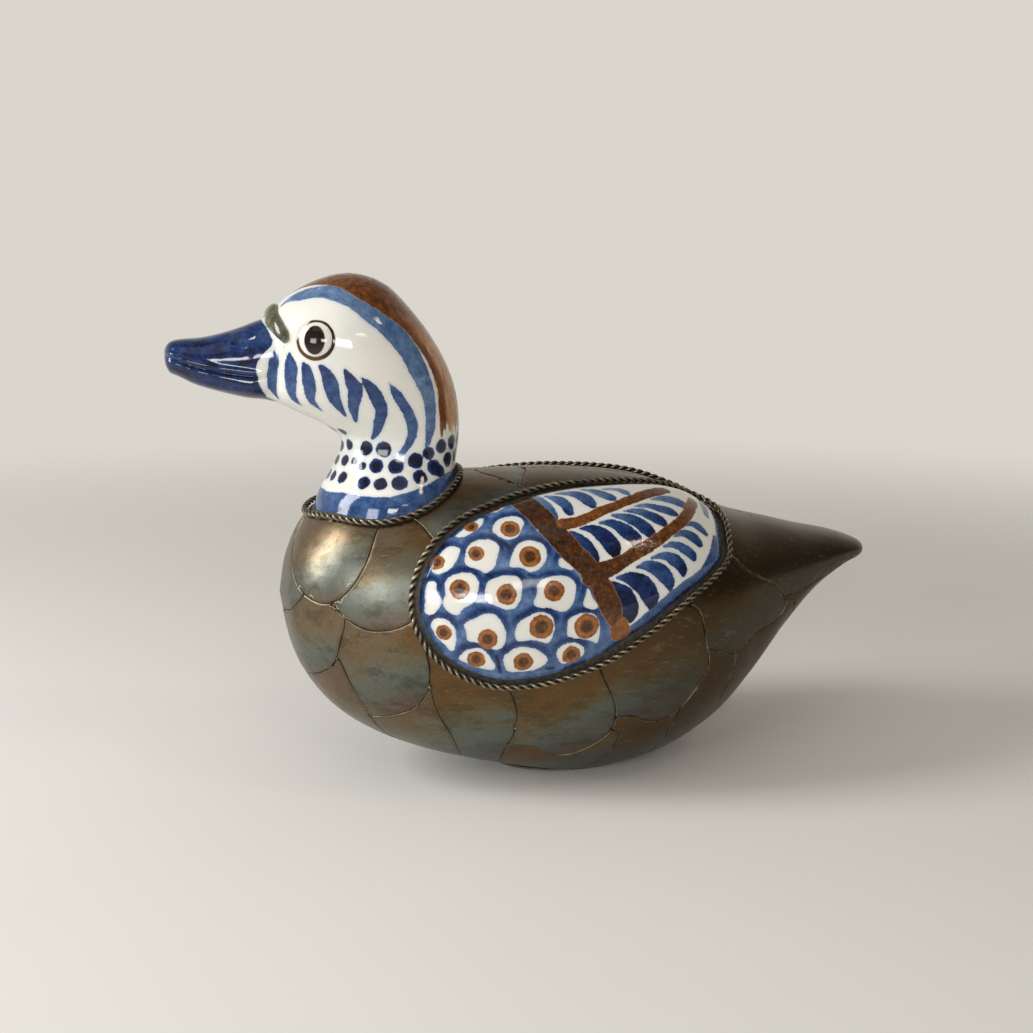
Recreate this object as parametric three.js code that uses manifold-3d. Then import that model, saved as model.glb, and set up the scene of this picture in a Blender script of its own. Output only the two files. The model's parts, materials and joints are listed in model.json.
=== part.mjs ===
// A duck figurine: one hollow slip-cast ceramic bird, glazed on its head and wings, whose body is clad in
// overlapping sheet-brass feathers with twisted-wire trims round the neck and round both wings.
// Millimetres, +Z up, the bill towards -X, the bird's left side towards -Y, standing on Z = 0.
import * as THREE from "three";
import { mergeVertices } from "three/addons/utils/BufferGeometryUtils.js";
import Module from "manifold-3d";

const wasm = await Module();
wasm.setup();

// Sizes of the cast body
const breastX = -106.8;
const bodyLength = 255.3;
const bodyHeight = 128.5;
const bodyWidth = 124;
const castWall = 5;
const ventDiameter = 8;
const wingRise = 6;
const wingCrevice = 0.9;

// Sizes of the neck, the head, the bill and the eyes
const neckX = -64.5;
const neckSink = 17.36;
const headHeight = 99.8;
const headLength = 80;
const headWidth = 58;
const billLength = 49;
const billWidth = 31;
const billHeight = 31.5;
const billSetback = 36;
const mouthRise = 66.8;
const mouthDiameter = 1.6;
const nostrilLength = 6.8;
const nostrilWidth = 3.2;
const nostrilDepth = 1.2;
const eyeDiameter = 13;
const eyeRise = 1.6;
const browDiameter = 4.8;
const browSink = 1;

// Sizes of the metalwork
const plateThickness = 0.8;
const basePlateThickness = 0.8;
const basePlateLength = 62;
const basePlateWidth = 44;
const basePlateX = 12;
const clearance = 0.3;
const seamGap = 0.3;
const ropeDiameter = 2.6;

// Shapes without a length: how far a round section swells towards a square, and how much wider the head is
// at its back than at its front
const sectionFullness = 0.93;
const billFullness = 0.9;
const eggShape = 0.1;

// How finely the curved faces are divided
const bodySteps = 18;
const girthSteps = 24;
const hollowSides = 12;
const hollowTopRow = 14;
const headSides = 18;
const ropeSides = 8;
const ropeStep = 3.4;
const plateStep = 14;
const cutterDepth = 4;
const coneLength = 75;
const spineStart = 0.18;
const spineEnd = 0.93;
const domeShares = [0.98, 0.9, 0.7, 0.35];
const hollowPercents = [2, 5, 12, 22, 34, 46, 58, 70, 78, 86, 93];
const neckSteps = 24;
const wingStep = 7;

const footZ = basePlateThickness + clearance;
const ropeRadius = ropeDiameter / 2;
const degrees = Math.PI / 180;

// Stations of the body from breast to tail tip: place along it as a share of its length, back and keel as
// shares of its height, half width as a share of half its width, and the height where it is widest.
const bodyStations = [
  [0, 0.62, 0.62, 0, 0.62],
  [0.014, 0.745, 0.46, 0.31, 0.614],
  [0.045, 0.858, 0.33, 0.51, 0.602],
  [0.1, 0.945, 0.215, 0.69, 0.577],
  [0.19, 0.98, 0.118, 0.865, 0.548],
  [0.32, 0.977, 0.04, 0.98, 0.523],
  [0.46, 0.975, -0.012, 1, 0.52],
  [0.59, 0.943, 0.02, 0.945, 0.53],
  [0.69, 0.865, 0.112, 0.8, 0.56],
  [0.76, 0.812, 0.238, 0.64, 0.598],
  [0.825, 0.78, 0.402, 0.5, 0.628],
  [0.885, 0.75, 0.538, 0.385, 0.652],
  [0.945, 0.724, 0.62, 0.27, 0.672],
  [0.985, 0.698, 0.65, 0.16, 0.675],
  [1, 0.676, 0.676, 0, 0.676],
];

// Rings of the neck and head from the foot up: height as a share of the head's, places of the front and the
// back from the neck's middle as shares of its length, and half width as a share of half its width.
const headRings = [
  [0, -0.365, 0.38, 1.18],
  [0.11, -0.338, 0.378, 1.13],
  [0.178, -0.29, 0.37, 0.99],
  [0.236, -0.25, 0.37, 0.86],
  [0.315, -0.213, 0.385, 0.81],
  [0.36, -0.232, 0.39, 0.815],
  [0.415, -0.335, 0.39, 0.85],
  [0.473, -0.48, 0.385, 0.895],
  [0.52, -0.585, 0.375, 0.935],
  [0.58, -0.625, 0.355, 0.975],
  [0.665, -0.615, 0.31, 1],
  [0.76, -0.6, 0.24, 0.965],
  [0.83, -0.56, 0.175, 0.88],
  [0.9, -0.475, 0.1, 0.73],
  [0.955, -0.365, 0.025, 0.52],
  [0.99, -0.245, -0.075, 0.24],
  [1, -0.16, -0.16, 0],
];

// Stations of the bill from its root inside the face to its tip: place along it as a share of its length,
// upper and lower line as shares of its height from the mouth, and half width as a share of half its width.
const billStations = [
  [0, 0.55, -0.62, 1.06],
  [0.22, 0.485, -0.524, 0.98],
  [0.39, 0.39, -0.476, 0.89],
  [0.55, 0.315, -0.38, 0.83],
  [0.71, 0.265, -0.29, 0.79],
  [0.86, 0.25, -0.165, 0.7],
  [0.95, 0.22, -0.1, 0.5],
  [0.99, 0.14, -0.05, 0.26],
  [1, 0.04, 0.04, 0],
];

// Places on the head, as a row of its table and an angle from its back round its left side: the eye, and the
// left half of the band over the bill. Places on the bill, as a row and an angle from its ridge: the mouth
// and the nostril.
const eyePlace = [10.8, 115];
const browPlaces = [[10.7, 135], [11.2, 140], [11.9, 152], [12.3, 167], [12.4, 180]];
const mouthRows = [1.3, 2.4, 3.5, 4.6, 5.7, 6.8];
const mouthTurn = 112.4;
const nostrilPlace = [1.95, 48];

// Outline of the left wing, and of each feather plate from the topmost down, as points on the body: percent
// of its length, and degrees down its left side from the middle of the back. A plate marked true comes in a
// pair, left and right, and the others lie across the middle line.
const wingOutline = [
  [17.9, 77], [19.6, 61], [24.5, 44.5], [31.3, 33], [38.3, 25.5], [45.3, 21], [52, 18], [58.5, 15],
  [64, 12], [67.8, 11], [70, 17], [70.4, 30], [69.6, 46], [68.3, 60], [64.8, 69.5], [60, 77.5],
  [54, 87], [47.4, 94], [41.1, 98.5], [35.5, 101.5], [29.3, 102.5], [23.2, 98], [18.9, 88],
];
const plates = [
  ["breast", true, [[14.5, 36], [13.4, 48], [11.5, 63], [9, 75], [6.4, 82], [4.2, 82], [2.5, 74], [1.7, 52],
    [1.9, 22], [3, 5], [6, 2], [10, 12]]],
  ["breast_middle", false, [[6, 0], [5, 30], [4.5, 60], [3.2, 76], [1.3, 96], [0.5, 130], [0.4, 180],
    [0.5, 230], [1.3, 264], [3.2, 284], [4.5, 300], [5, 330]]],
  ["throat_side", true, [[12, 34], [18.5, 39], [21.6, 50], [23, 64], [21, 77], [17.4, 84.5], [14.9, 88],
    [11.5, 89.8], [8.8, 87.5], [6.5, 80], [7, 62], [9, 46]]],
  ["breast_lower", true, [[0.3, 190], [0.8, 100], [3, 68], [7, 74], [8.4, 87], [7.7, 100], [6.9, 114],
    [5.2, 130], [3.8, 150], [3.2, 184]]],
  ["keel_front", false, [[2.4, 180], [4.5, 130], [7, 108], [9.3, 121], [11.5, 134], [15.5, 154], [22, 168],
    [24, 180], [22, 192], [15.5, 206], [11.5, 226], [9.3, 239], [7, 252], [4.5, 230]]],
  ["breast_flank", true, [[8, 82], [16, 80], [19, 88], [20.2, 98], [20.2, 108], [18.8, 118], [15.6, 129],
    [11, 142], [8, 128], [6, 108], [6.5, 90]]],
  ["belly_front", true, [[10, 142], [14, 118], [19.5, 104], [21.5, 118], [24, 131], [26, 145], [28, 165],
    [28.5, 188], [20, 190], [14, 160]]],
  ["flank_front", true, [[18, 96], [20, 76], [27, 88], [31, 100], [33.3, 112], [33.5, 124], [32.8, 136],
    [33, 155], [35, 188], [26, 190], [22, 150], [18.5, 112]]],
  ["flank_middle", true, [[28, 94], [38, 86], [44, 92], [47.2, 103], [49, 113], [48.8, 122], [46, 130.5],
    [41.8, 137], [37, 132.5], [32, 130], [30, 112]]],
  ["flank_rear", true, [[43, 90], [54, 76], [62, 82], [63.6, 94], [64.6, 104], [62.6, 113], [58.5, 122],
    [55, 121], [51.5, 116.5], [47, 115.5], [44, 104]]],
  ["rump_side", true, [[60, 90], [62, 72], [68, 55], [73, 70], [76.7, 82], [79.7, 94], [81, 104], [80, 111],
    [74.7, 106], [70, 106.5], [66, 100], [62.5, 96]]],
  ["belly_middle", true, [[30, 124], [40, 122], [50, 124], [49, 140], [46, 160], [48, 190], [34, 190],
    [31.5, 150]]],
  ["belly_rear", true, [[44, 108], [53, 108], [60, 114], [59.5, 130], [58, 150], [60, 190], [44, 190],
    [44, 150]]],
  ["thigh", true, [[60, 90], [66, 96], [70, 106], [69, 125], [66, 150], [68, 190], [58, 190], [56, 150],
    [57, 115]]],
  ["rump_lower", true, [[67, 96], [76, 98], [83, 112], [82, 140], [81, 190], [64, 190], [65, 150],
    [67, 120]]],
  ["tail_underside", false, [[79, 180], [79.5, 140], [80, 100], [84.3, 105], [88, 110], [93, 112], [97, 112],
    [98.5, 130], [99, 180], [98.5, 230], [97, 248], [93, 248], [88, 250], [84.3, 255], [80, 260],
    [79.5, 220]]],
  ["shoulder", true, [[13, 34], [18.5, 42], [22, 54], [27, 52], [33, 38], [39, 27], [36.3, 18.5],
    [34, 11], [32, 4], [31.6, -4], [24, -6], [18, 14]]],
  ["back_front", false, [[30, 0], [31, 12], [36.4, 21], [38.5, 10], [39.8, 0], [38.5, -10], [36.4, -21],
    [31, -12]]],
  ["back_middle", false, [[36, 0], [36, 26], [46, 28], [58, 26], [68, 24], [72, 10], [73, 0], [72, -10],
    [68, -24], [58, -26], [46, -28], [36, -26]]],
];

// Smooth values between the rows of a table, at a place from 0 to its last row
function between(table) {
  const rows = table.map((row, i) => i);
  const cubic = new THREE.CubicInterpolant(rows, table.flat(), table[0].length);
  return (place) => Array.from(cubic.evaluate(place));
}

const bodyStation = between(bodyStations);
const headRing = between(headRings);
const billStation = between(billStations);
const lastStation = bodyStations.length - 1;
const lastRing = headRings.length - 1;
const rounded = (value, power) => Math.sign(value) * Math.abs(value) ** power;

// The row of a table, counted in parts, where its first column reaches a share
function rowWhere(curve, last, share) {
  let low = 0;
  let high = last;
  for (let halving = 0; halving < 24; halving++) {
    const middle = (low + high) / 2;
    if (curve(middle)[0] < share) low = middle;
    else high = middle;
  }
  return (low + high) / 2;
}

// The body's row at a percent of its length, and at a place along X
const rowAt = (percent) => rowWhere(bodyStation, lastStation, percent / 100);
const rowAtX = (x) => rowAt(((x - breastX) / bodyLength) * 100);

// A point of the cast body, drawn in by inset, at a row of its table and an angle round it
function bodyPoint(row, girth, inset = 0) {
  const [along, back, keel, half, waist] = bodyStation(row);
  const up = rounded(Math.cos(girth), sectionFullness);
  const side = rounded(Math.sin(girth), sectionFullness);
  const rise = (up > 0 ? back - waist : waist - keel) * bodyHeight - inset;
  const y = -side * Math.max((half * bodyWidth) / 2 - inset, 0);
  const z = waist * bodyHeight + up * Math.max(rise, 0);
  return new THREE.Vector3(breastX + along * bodyLength, y, Math.max(z, footZ + inset));
}

// The neck rises from inside the body, and the mouth's level goes up with it
const neckFootZ = bodyPoint(rowAtX(neckX), 0).z - neckSink;
const mouthZ = neckFootZ + mouthRise;
const billRootX = neckX - billSetback;

// The direction straight out of the body there
function bodyNormal(row, girth) {
  const step = 0.01;
  const inner = THREE.MathUtils.clamp(row, step * 2, lastStation - step * 2);
  const alongBody = bodyPoint(inner + step, girth).sub(bodyPoint(inner - step, girth));
  const roundBody = bodyPoint(inner, girth + step).sub(bodyPoint(inner, girth - step));
  return roundBody.cross(alongBody).normalize();
}

// The point at a height above the cast body
function overBody(row, girth, height) {
  return bodyPoint(row, girth).addScaledVector(bodyNormal(row, girth), height);
}

const figurine = new THREE.Group();
const glaze = new THREE.MeshStandardMaterial({ color: 0xdcdcd6, roughness: 0.15, metalness: 0 });
const brass = new THREE.MeshStandardMaterial({ color: 0x6f6550, roughness: 0.35, metalness: 1 });
const wire = new THREE.MeshStandardMaterial({ color: 0x4c4638, roughness: 0.45, metalness: 1 });

function addPiece(name, geometry, material, flip = 1) {
  const mesh = new THREE.Mesh(geometry, material);
  mesh.name = name;
  mesh.scale.y = flip;
  figurine.add(mesh);
}

// A closed body through rings of points, with a point at each end. The faces' diagonals lean the other way
// in the second half of each ring, so that a body like on both sides has faces like on both sides too.
function loft(rings, start = middleOf(rings[0]), end = middleOf(rings[rings.length - 1])) {
  const sides = rings[0].length;
  const points = [...rings.flat(), start, end];
  const lastRing = (rings.length - 1) * sides;
  const faces = [];
  for (let side = 0; side < sides; side++) {
    const next = (side + 1) % sides;
    const [toUpper, toLower] = side < sides / 2 ? [side, next] : [next, side];
    for (let first = 0; first < lastRing; first += sides) {
      faces.push(first + side, first + next, first + toUpper + sides);
      faces.push(first + next + sides, first + side + sides, first + toLower);
    }
    faces.push(points.length - 2, next, side);
    faces.push(points.length - 1, lastRing + side, lastRing + next);
  }
  return solid(new THREE.BufferGeometry().setFromPoints(points).setIndex(faces));
}

function middleOf(points) {
  const sum = points.reduce((total, point) => total.add(point), new THREE.Vector3());
  return sum.divideScalar(points.length);
}

// A closed geometry as a solid, turned face out
function solid(geometry) {
  const bare = new THREE.BufferGeometry().setAttribute("position", geometry.getAttribute("position"));
  if (geometry.index) bare.setIndex(geometry.index);
  const merged = mergeVertices(bare, 1e-4);
  const triVerts = new Uint32Array(merged.index.array);
  const vertProperties = merged.getAttribute("position").array;
  const made = new wasm.Manifold(new wasm.Mesh({ numProp: 3, vertProperties, triVerts }));
  if (made.volume() > 0) return made;
  triVerts.reverse();
  return new wasm.Manifold(new wasm.Mesh({ numProp: 3, vertProperties, triVerts }));
}

// A solid as a geometry, without any offcut that lies loose beside its largest body
function geometryOf(made) {
  const bodies = made.decompose().sort((a, b) => b.volume() - a.volume());
  const { numProp, numVert, vertProperties, triVerts } = bodies[0].getMesh();
  const position = new Float32Array(numVert * 3);
  for (let i = 0; i < numVert; i++) {
    position.set(vertProperties.subarray(i * numProp, i * numProp + 3), i * 3);
  }
  const geometry = new THREE.BufferGeometry();
  geometry.setAttribute("position", new THREE.BufferAttribute(position, 3));
  geometry.setIndex(new THREE.BufferAttribute(triVerts, 1));
  geometry.computeVertexNormals();
  return geometry;
}

// A closed smooth curve through points, with even steps of about the given length
function closedCurve(points, step) {
  const curve = new THREE.CatmullRomCurve3(points, true, "centripetal");
  return curve.getSpacedPoints(Math.round(curve.getLength() / step)).slice(0, -1);
}

// The whole body at a height over its cast surface
function bodySolid(height) {
  const rings = [];
  for (let ring = 1; ring < bodySteps; ring++) {
    const row = rowAt(50 - 50 * Math.cos((ring / bodySteps) * Math.PI));
    const points = [];
    for (let side = 0; side < girthSteps; side++) {
      points.push(overBody(row, (side / girthSteps) * 2 * Math.PI, height));
    }
    rings.push(points);
  }
  const start = bodyPoint(0, 0).setX(breastX - height);
  const end = bodyPoint(lastStation, 0).setX(breastX + bodyLength + height);
  return loft(rings, start, end);
}

// Wings: the outline as rows and angles on the body, mirrored for the right wing
const wingCorners = wingOutline.map(([percent, girth]) => new THREE.Vector3(percent, girth, 0));
const wingPlaces = closedCurve(wingCorners, wingStep).map(
  ({ x, y }) => new THREE.Vector3(rowAt(x), y * degrees, 0),
);
const wingMiddle = middleOf(wingPlaces);

function wingDome(side) {
  const center = bodyPoint(wingMiddle.x, wingMiddle.y);
  const rims = wingPlaces.map((place) => {
    const reach = bodyPoint(place.x, place.y).distanceTo(center);
    const share = 1 - (ropeRadius + clearance + wingCrevice) / reach;
    return wingMiddle.clone().lerp(place, share);
  });
  const ringAt = (share, height) =>
    rims.map((rim) => {
      const place = wingMiddle.clone().lerp(rim, share);
      return overBody(place.x, side * place.y, height);
    });
  const rings = [ringAt(1, -castWall / 2), ringAt(1, 0)];
  for (const share of domeShares) {
    rings.push(ringAt(share, wingRise * Math.sqrt(1 - share ** 4)));
  }
  return loft(rings);
}

// A point of the neck or head, drawn in by inset, at a row of its table and an angle from its back round its
// left side
function headPoint(row, turn, inset = 0) {
  const [height, front, back, half] = headRing(row);
  const reach = Math.max(((back - front) / 2) * headLength - inset, 0);
  const side = Math.max((half * headWidth) / 2 - inset, 0);
  const x = neckX + ((front + back) / 2) * headLength + reach * Math.cos(turn);
  const y = -side * (1 + eggShape * Math.cos(turn)) * Math.sin(turn);
  return new THREE.Vector3(x, y, neckFootZ + height * headHeight);
}

function headSolid(sides, lastRow, inset = 0) {
  const ovalAt = (row) => {
    const points = [];
    for (let i = 0; i < sides; i++) points.push(headPoint(row, (i / sides) * 2 * Math.PI, inset));
    return points;
  };
  const rings = [];
  for (let row = 0; row < lastRow; row++) rings.push(ovalAt(row));
  return loft(rings, undefined, middleOf(ovalAt(lastRow)));
}

// A point of the bill, at a row of its table and an angle from its ridge round its right side
function billPoint(row, turn) {
  const [along, upper, lower, half] = billStation(row);
  const y = (half * billWidth * rounded(Math.sin(turn), billFullness)) / 2;
  const z = mouthZ + ((upper + lower) / 2 + ((upper - lower) / 2) * Math.cos(turn)) * billHeight;
  return new THREE.Vector3(billRootX - along * billLength, y, z);
}

function billSolid() {
  const rings = [];
  for (let row = 0; row < billStations.length - 1; row++) {
    const points = [];
    for (let i = 0; i < headSides; i++) points.push(billPoint(row, (i / headSides) * 2 * Math.PI));
    rings.push(points);
  }
  const tip = billStations[billStations.length - 1];
  return loft(rings, undefined, new THREE.Vector3(billRootX - billLength, 0, mouthZ + tip[1] * billHeight));
}

// A round bar along a smooth path
function bar(places, diameter, steps, curveSegments) {
  const round = new THREE.Shape().absarc(0, 0, diameter / 2, 0, 2 * Math.PI);
  const extrudePath = new THREE.CatmullRomCurve3(places);
  return solid(new THREE.ExtrudeGeometry(round, { steps, curveSegments, extrudePath, bevelEnabled: false }));
}

// The groove of the mouth along a side of the bill, and the long hollow of the nostril above it
function mouthCutter(side) {
  const places = mouthRows.map((row) => billPoint(row, side * mouthTurn * degrees));
  return bar(places, mouthDiameter, places.length + 2, 2);
}

function nostrilCutter(side) {
  const [row, turn] = [nostrilPlace[0], side * nostrilPlace[1] * degrees];
  const ahead = billPoint(row + 0.5, turn).sub(billPoint(row - 0.5, turn)).normalize();
  const out = billPoint(row, turn + 0.2).sub(billPoint(row, turn - 0.2)).cross(ahead).normalize();
  const axes = new THREE.Matrix4().makeBasis(ahead, out, ahead.clone().cross(out));
  const { x, y, z } = billPoint(row, turn);
  const hollow = new THREE.SphereGeometry(1, 8, 5);
  hollow.scale(nostrilLength / 2, nostrilDepth, nostrilWidth / 2);
  return solid(hollow.applyMatrix4(axes).translate(x, y, z));
}

// A raised round eye, and the raised band that arches over the root of the bill
function eyeSolid(side) {
  const [row, turn] = [eyePlace[0], side * eyePlace[1] * degrees];
  const eye = headPoint(row, turn);
  const ahead = headPoint(row, turn + 0.2).sub(headPoint(row, turn - 0.2));
  const above = headPoint(row + 0.5, turn).sub(headPoint(row - 0.5, turn));
  const out = above.cross(ahead).normalize();
  const profile = [new THREE.Vector2(0, -castWall / 2), new THREE.Vector2(eyeDiameter / 2, -castWall / 2)];
  for (let turn = 0; turn < 90; turn += 22.5) {
    const reach = (eyeDiameter / 2) * Math.cos(turn * degrees);
    profile.push(new THREE.Vector2(reach, eyeRise * Math.sin(turn * degrees)));
  }
  profile.push(new THREE.Vector2(0, eyeRise));
  const dome = new THREE.LatheGeometry(profile, 14);
  const upright = new THREE.Quaternion().setFromUnitVectors(new THREE.Vector3(0, 1, 0), out);
  return solid(dome.applyQuaternion(upright).translate(eye.x, eye.y, eye.z));
}

function browSolid() {
  const axis = new THREE.Vector3(neckX - 0.15 * headLength, 0, headPoint(10, 0).z);
  const left = browPlaces.map(([row, turn]) => {
    const point = headPoint(row, turn * degrees);
    return point.addScaledVector(axis.clone().sub(point).normalize(), browSink);
  });
  const right = left.slice(0, -1).reverse().map(({ x, y, z }) => new THREE.Vector3(x, -y, z));
  let band = bar([...left, ...right], browDiameter, 14, 4);
  for (const { x, y, z } of [left[0], right[right.length - 1]]) {
    band = band.add(solid(new THREE.SphereGeometry(browDiameter / 2, 8, 6).translate(x, y, z)));
  }
  return band;
}

// The hollow inside the casting, with the vent in its foot
function hollowSolid() {
  const rings = [];
  for (const percent of hollowPercents) {
    const points = [];
    for (let side = 0; side < hollowSides; side++) {
      points.push(bodyPoint(rowAt(percent), (side / hollowSides) * 2 * Math.PI, castWall));
    }
    rings.push(points);
  }
  const vent = new THREE.CylinderGeometry(ventDiameter / 2, ventDiameter / 2, 4 * castWall, 16);
  vent.rotateX(Math.PI / 2).translate(basePlateX, 0, footZ);
  return loft(rings).add(headSolid(hollowSides, hollowTopRow, castWall)).add(solid(vent));
}

const casting = [
  headSolid(headSides, lastRing), billSolid(), browSolid(), eyeSolid(1), eyeSolid(-1), wingDome(1),
  wingDome(-1),
].reduce((whole, part) => whole.add(part), bodySolid(0));
const carved = [
  hollowSolid(), mouthCutter(1), mouthCutter(-1), nostrilCutter(1), nostrilCutter(-1),
].reduce((whole, part) => whole.subtract(part), casting);
addPiece("ceramic_bird", geometryOf(carved), glaze);

// Cutters for the sheet metal: a cone through the outline, from just inside the bird to far outside it, with
// its tip deep behind the outline's middle. Grown by a gap, it leaves that gap round what was cut before.
function cutter(outline, gap = 0) {
  const middle = middleOf(outline);
  const tip = coneTip(middle);
  const grown = outline.map((point, i) => {
    const before = outline[(i + outline.length - 1) % outline.length];
    const after = outline[(i + 1) % outline.length];
    const sideways = after.clone().sub(before).cross(point.clone().sub(tip)).normalize();
    if (sideways.dot(point.clone().sub(middle)) < 0) sideways.negate();
    return point.clone().addScaledVector(sideways, gap);
  });
  const inside = grown.map((point) => point.clone().lerp(tip, cutterDepth / point.distanceTo(tip)));
  const outside = grown.map((point) => point.clone().lerp(tip, -1));
  return loft([inside, outside]);
}

// The tip lies behind the point on the line from there through the body's middle line
function coneTip(point) {
  const share = THREE.MathUtils.clamp((point.x - breastX) / bodyLength, spineStart, spineEnd);
  const waist = bodyStation(rowAt(100 * share))[4];
  const spine = new THREE.Vector3(breastX + share * bodyLength, 0, waist * bodyHeight);
  return point.clone().addScaledVector(spine.sub(point).normalize(), coneLength);
}

function onBody([percent, girth]) {
  return bodyPoint(rowAt(percent), girth * degrees);
}

function block(width, from, to) {
  return solid(new THREE.BoxGeometry(width, to - from, width).translate(0, (from + to) / 2, 0));
}

// Neck trim: the oval where the neck meets the body, with room for the trim, as rows and angles on the body
function neckPlace(turn) {
  const place = new THREE.Vector3();
  for (let z = neckFootZ, pass = 0; pass < 5; pass++) {
    const row = rowWhere(headRing, lastRing, (z - neckFootZ) / headHeight);
    const edge = headPoint(row, turn, -ropeRadius - clearance);
    const bodyRow = rowAtX(edge.x);
    const share = Math.abs(edge.y) / ((bodyStation(bodyRow)[3] * bodyWidth) / 2);
    place.set(bodyRow, -Math.sign(edge.y) * Math.asin(share ** (1 / sectionFullness)), 0);
    z = bodyPoint(place.x, place.y).z;
  }
  return place;
}

const neckPlaces = [];
for (let i = 0; i < neckSteps; i++) neckPlaces.push(neckPlace((i / neckSteps) * 2 * Math.PI));

// Sheet metal: the skin round the whole body, less the wings, the neck and the foot, cut into its plates
function footPlate(grow, from, to) {
  const shape = new THREE.Shape();
  shape.absellipse(basePlateX, 0, basePlateLength / 2 + grow, basePlateWidth / 2 + grow, 0, 2 * Math.PI);
  const options = { depth: to - from, bevelEnabled: false, curveSegments: 20 };
  return solid(new THREE.ExtrudeGeometry(shape, options).translate(0, 0, from));
}

const wingEdge = (side) => wingPlaces.map((place) => bodyPoint(place.x, side * place.y));
const neckEdge = neckPlaces.map((place) => bodyPoint(place.x, place.y));
let skin = bodySolid(clearance + plateThickness).subtract(bodySolid(clearance));
for (const opening of [wingEdge(1), wingEdge(-1), neckEdge]) skin = skin.subtract(cutter(opening));
skin = skin.subtract(footPlate(clearance, -bodyHeight, bodyHeight / 10));
const farLeft = block(4 * bodyLength, -2 * bodyWidth, 0);
const left = block(4 * bodyLength, -2 * bodyWidth, -seamGap / 2);
for (const [name, paired, outline] of plates) {
  const edge = closedCurve(outline.map(onBody), plateStep);
  if (paired) {
    const piece = geometryOf(skin.intersect(cutter(edge)).intersect(left));
    addPiece("left_" + name + "_plate", piece, brass);
    addPiece("right_" + name + "_plate", piece, brass, -1);
    const taken = cutter(edge, seamGap).intersect(farLeft);
    skin = skin.subtract(taken).subtract(mirrored(taken));
  } else {
    addPiece(name + "_plate", geometryOf(skin.intersect(cutter(edge))), brass);
    skin = skin.subtract(cutter(edge, seamGap));
  }
}
addPiece("tail_cover_plate", geometryOf(skin), brass);
addPiece("base_plate", geometryOf(footPlate(0, 0, basePlateThickness)), brass);

function mirrored(made) {
  const { numProp, vertProperties, triVerts } = made.getMesh();
  for (let i = 1; i < vertProperties.length; i += numProp) vertProperties[i] *= -1;
  triVerts.reverse();
  return new wasm.Manifold(new wasm.Mesh({ numProp, vertProperties, triVerts }));
}

// Twisted-wire trims, each a closed ring lying on the edge of the plates
function trim(name, places, flip) {
  const height = clearance + plateThickness + clearance + ropeRadius;
  const path = new THREE.CatmullRomCurve3(places.map(({ x, y }) => overBody(x, y, height)), true);
  const steps = Math.round(path.getLength() / (ropeStep * ropeDiameter));
  const ring = new THREE.TubeGeometry(path, steps, ropeRadius, ropeSides, true);
  addPiece(name, geometryOf(solid(ring)), wire, flip);
}

trim("neck_rope_trim", neckPlaces, 1);
trim("left_wing_rope_trim", wingPlaces, 1);
trim("right_wing_rope_trim", wingPlaces, -1);

export default figurine;
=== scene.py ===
"""Looks of the ceramic duck: glazed and hand-painted bird, sheet-metal feathers and twisted-wire trims."""

import json
import math

import bmesh
import bpy
import numpy as np
from bpy.props import FloatProperty, FloatVectorProperty, IntProperty, PointerProperty
from mathutils import Matrix, Vector, geometry, kdtree

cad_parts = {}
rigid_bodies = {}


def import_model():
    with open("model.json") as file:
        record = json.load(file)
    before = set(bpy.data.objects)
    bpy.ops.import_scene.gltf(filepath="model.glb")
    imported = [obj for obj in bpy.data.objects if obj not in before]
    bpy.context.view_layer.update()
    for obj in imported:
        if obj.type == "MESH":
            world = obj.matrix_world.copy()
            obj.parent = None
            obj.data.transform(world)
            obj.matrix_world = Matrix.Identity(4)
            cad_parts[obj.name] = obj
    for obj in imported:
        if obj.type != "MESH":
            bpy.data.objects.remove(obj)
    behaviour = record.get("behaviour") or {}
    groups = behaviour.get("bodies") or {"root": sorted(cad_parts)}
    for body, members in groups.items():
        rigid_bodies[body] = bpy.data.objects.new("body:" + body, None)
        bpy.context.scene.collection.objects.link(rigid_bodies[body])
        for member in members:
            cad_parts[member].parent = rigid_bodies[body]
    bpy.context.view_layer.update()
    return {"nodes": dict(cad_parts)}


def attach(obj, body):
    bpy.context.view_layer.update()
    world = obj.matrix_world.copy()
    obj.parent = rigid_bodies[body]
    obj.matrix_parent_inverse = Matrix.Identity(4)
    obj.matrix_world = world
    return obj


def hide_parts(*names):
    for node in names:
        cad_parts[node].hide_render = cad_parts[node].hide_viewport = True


bl_info = {
    "name": "Ceramic Duck with Metal Feathers",
    "version": (1, 0, 0),
    "blender": (4, 5, 0),
    "location": "3D View > Sidebar > Duck",
    "description": "Builds a painted ceramic duck clad in sheet-metal feathers",
    "category": "Add Mesh",
}

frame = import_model()
NODES = frame["nodes"]
MM = 0.001

# The bird's own sizes in millimetres: bill towards -X, left side towards -Y, up is +Z
BREAST_X = -106.8
BODY_LENGTH = 255.3
BODY_HEIGHT = 128.5
BODY_WIDTH = 124.0
BODY_FULLNESS = 0.93
FOOT_Z = 1.1
NECK_X = -64.5
NECK_FOOT_Z = 108.0
NECK_SINK = 5.0
NECK_FLARE, FLARE_HEIGHT = 1.8, 9.0
HEAD_HEIGHT = 99.8
HEAD_LENGTH = 80.0
HEAD_WIDTH = 58.0
EGG_SHAPE = 0.1
BILL_ROOT_X = -100.5
BILL_LENGTH = 49.0
BILL_WIDTH = 31.0
BILL_HEIGHT = 31.5
BILL_FULLNESS = 0.9
MOUTH_Z = 174.8
WING_RISE = 6.0
WING_CREVICE = 0.9
# How far the rim of a wing is drawn inwards and into the casting, and its middle into the casting
RIM_INWARD, RIM_SUNK, MIDDLE_SUNK = 1.6, 1.5, 3.0
CLEARANCE = 0.3
ROPE_RADIUS = 1.3
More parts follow.
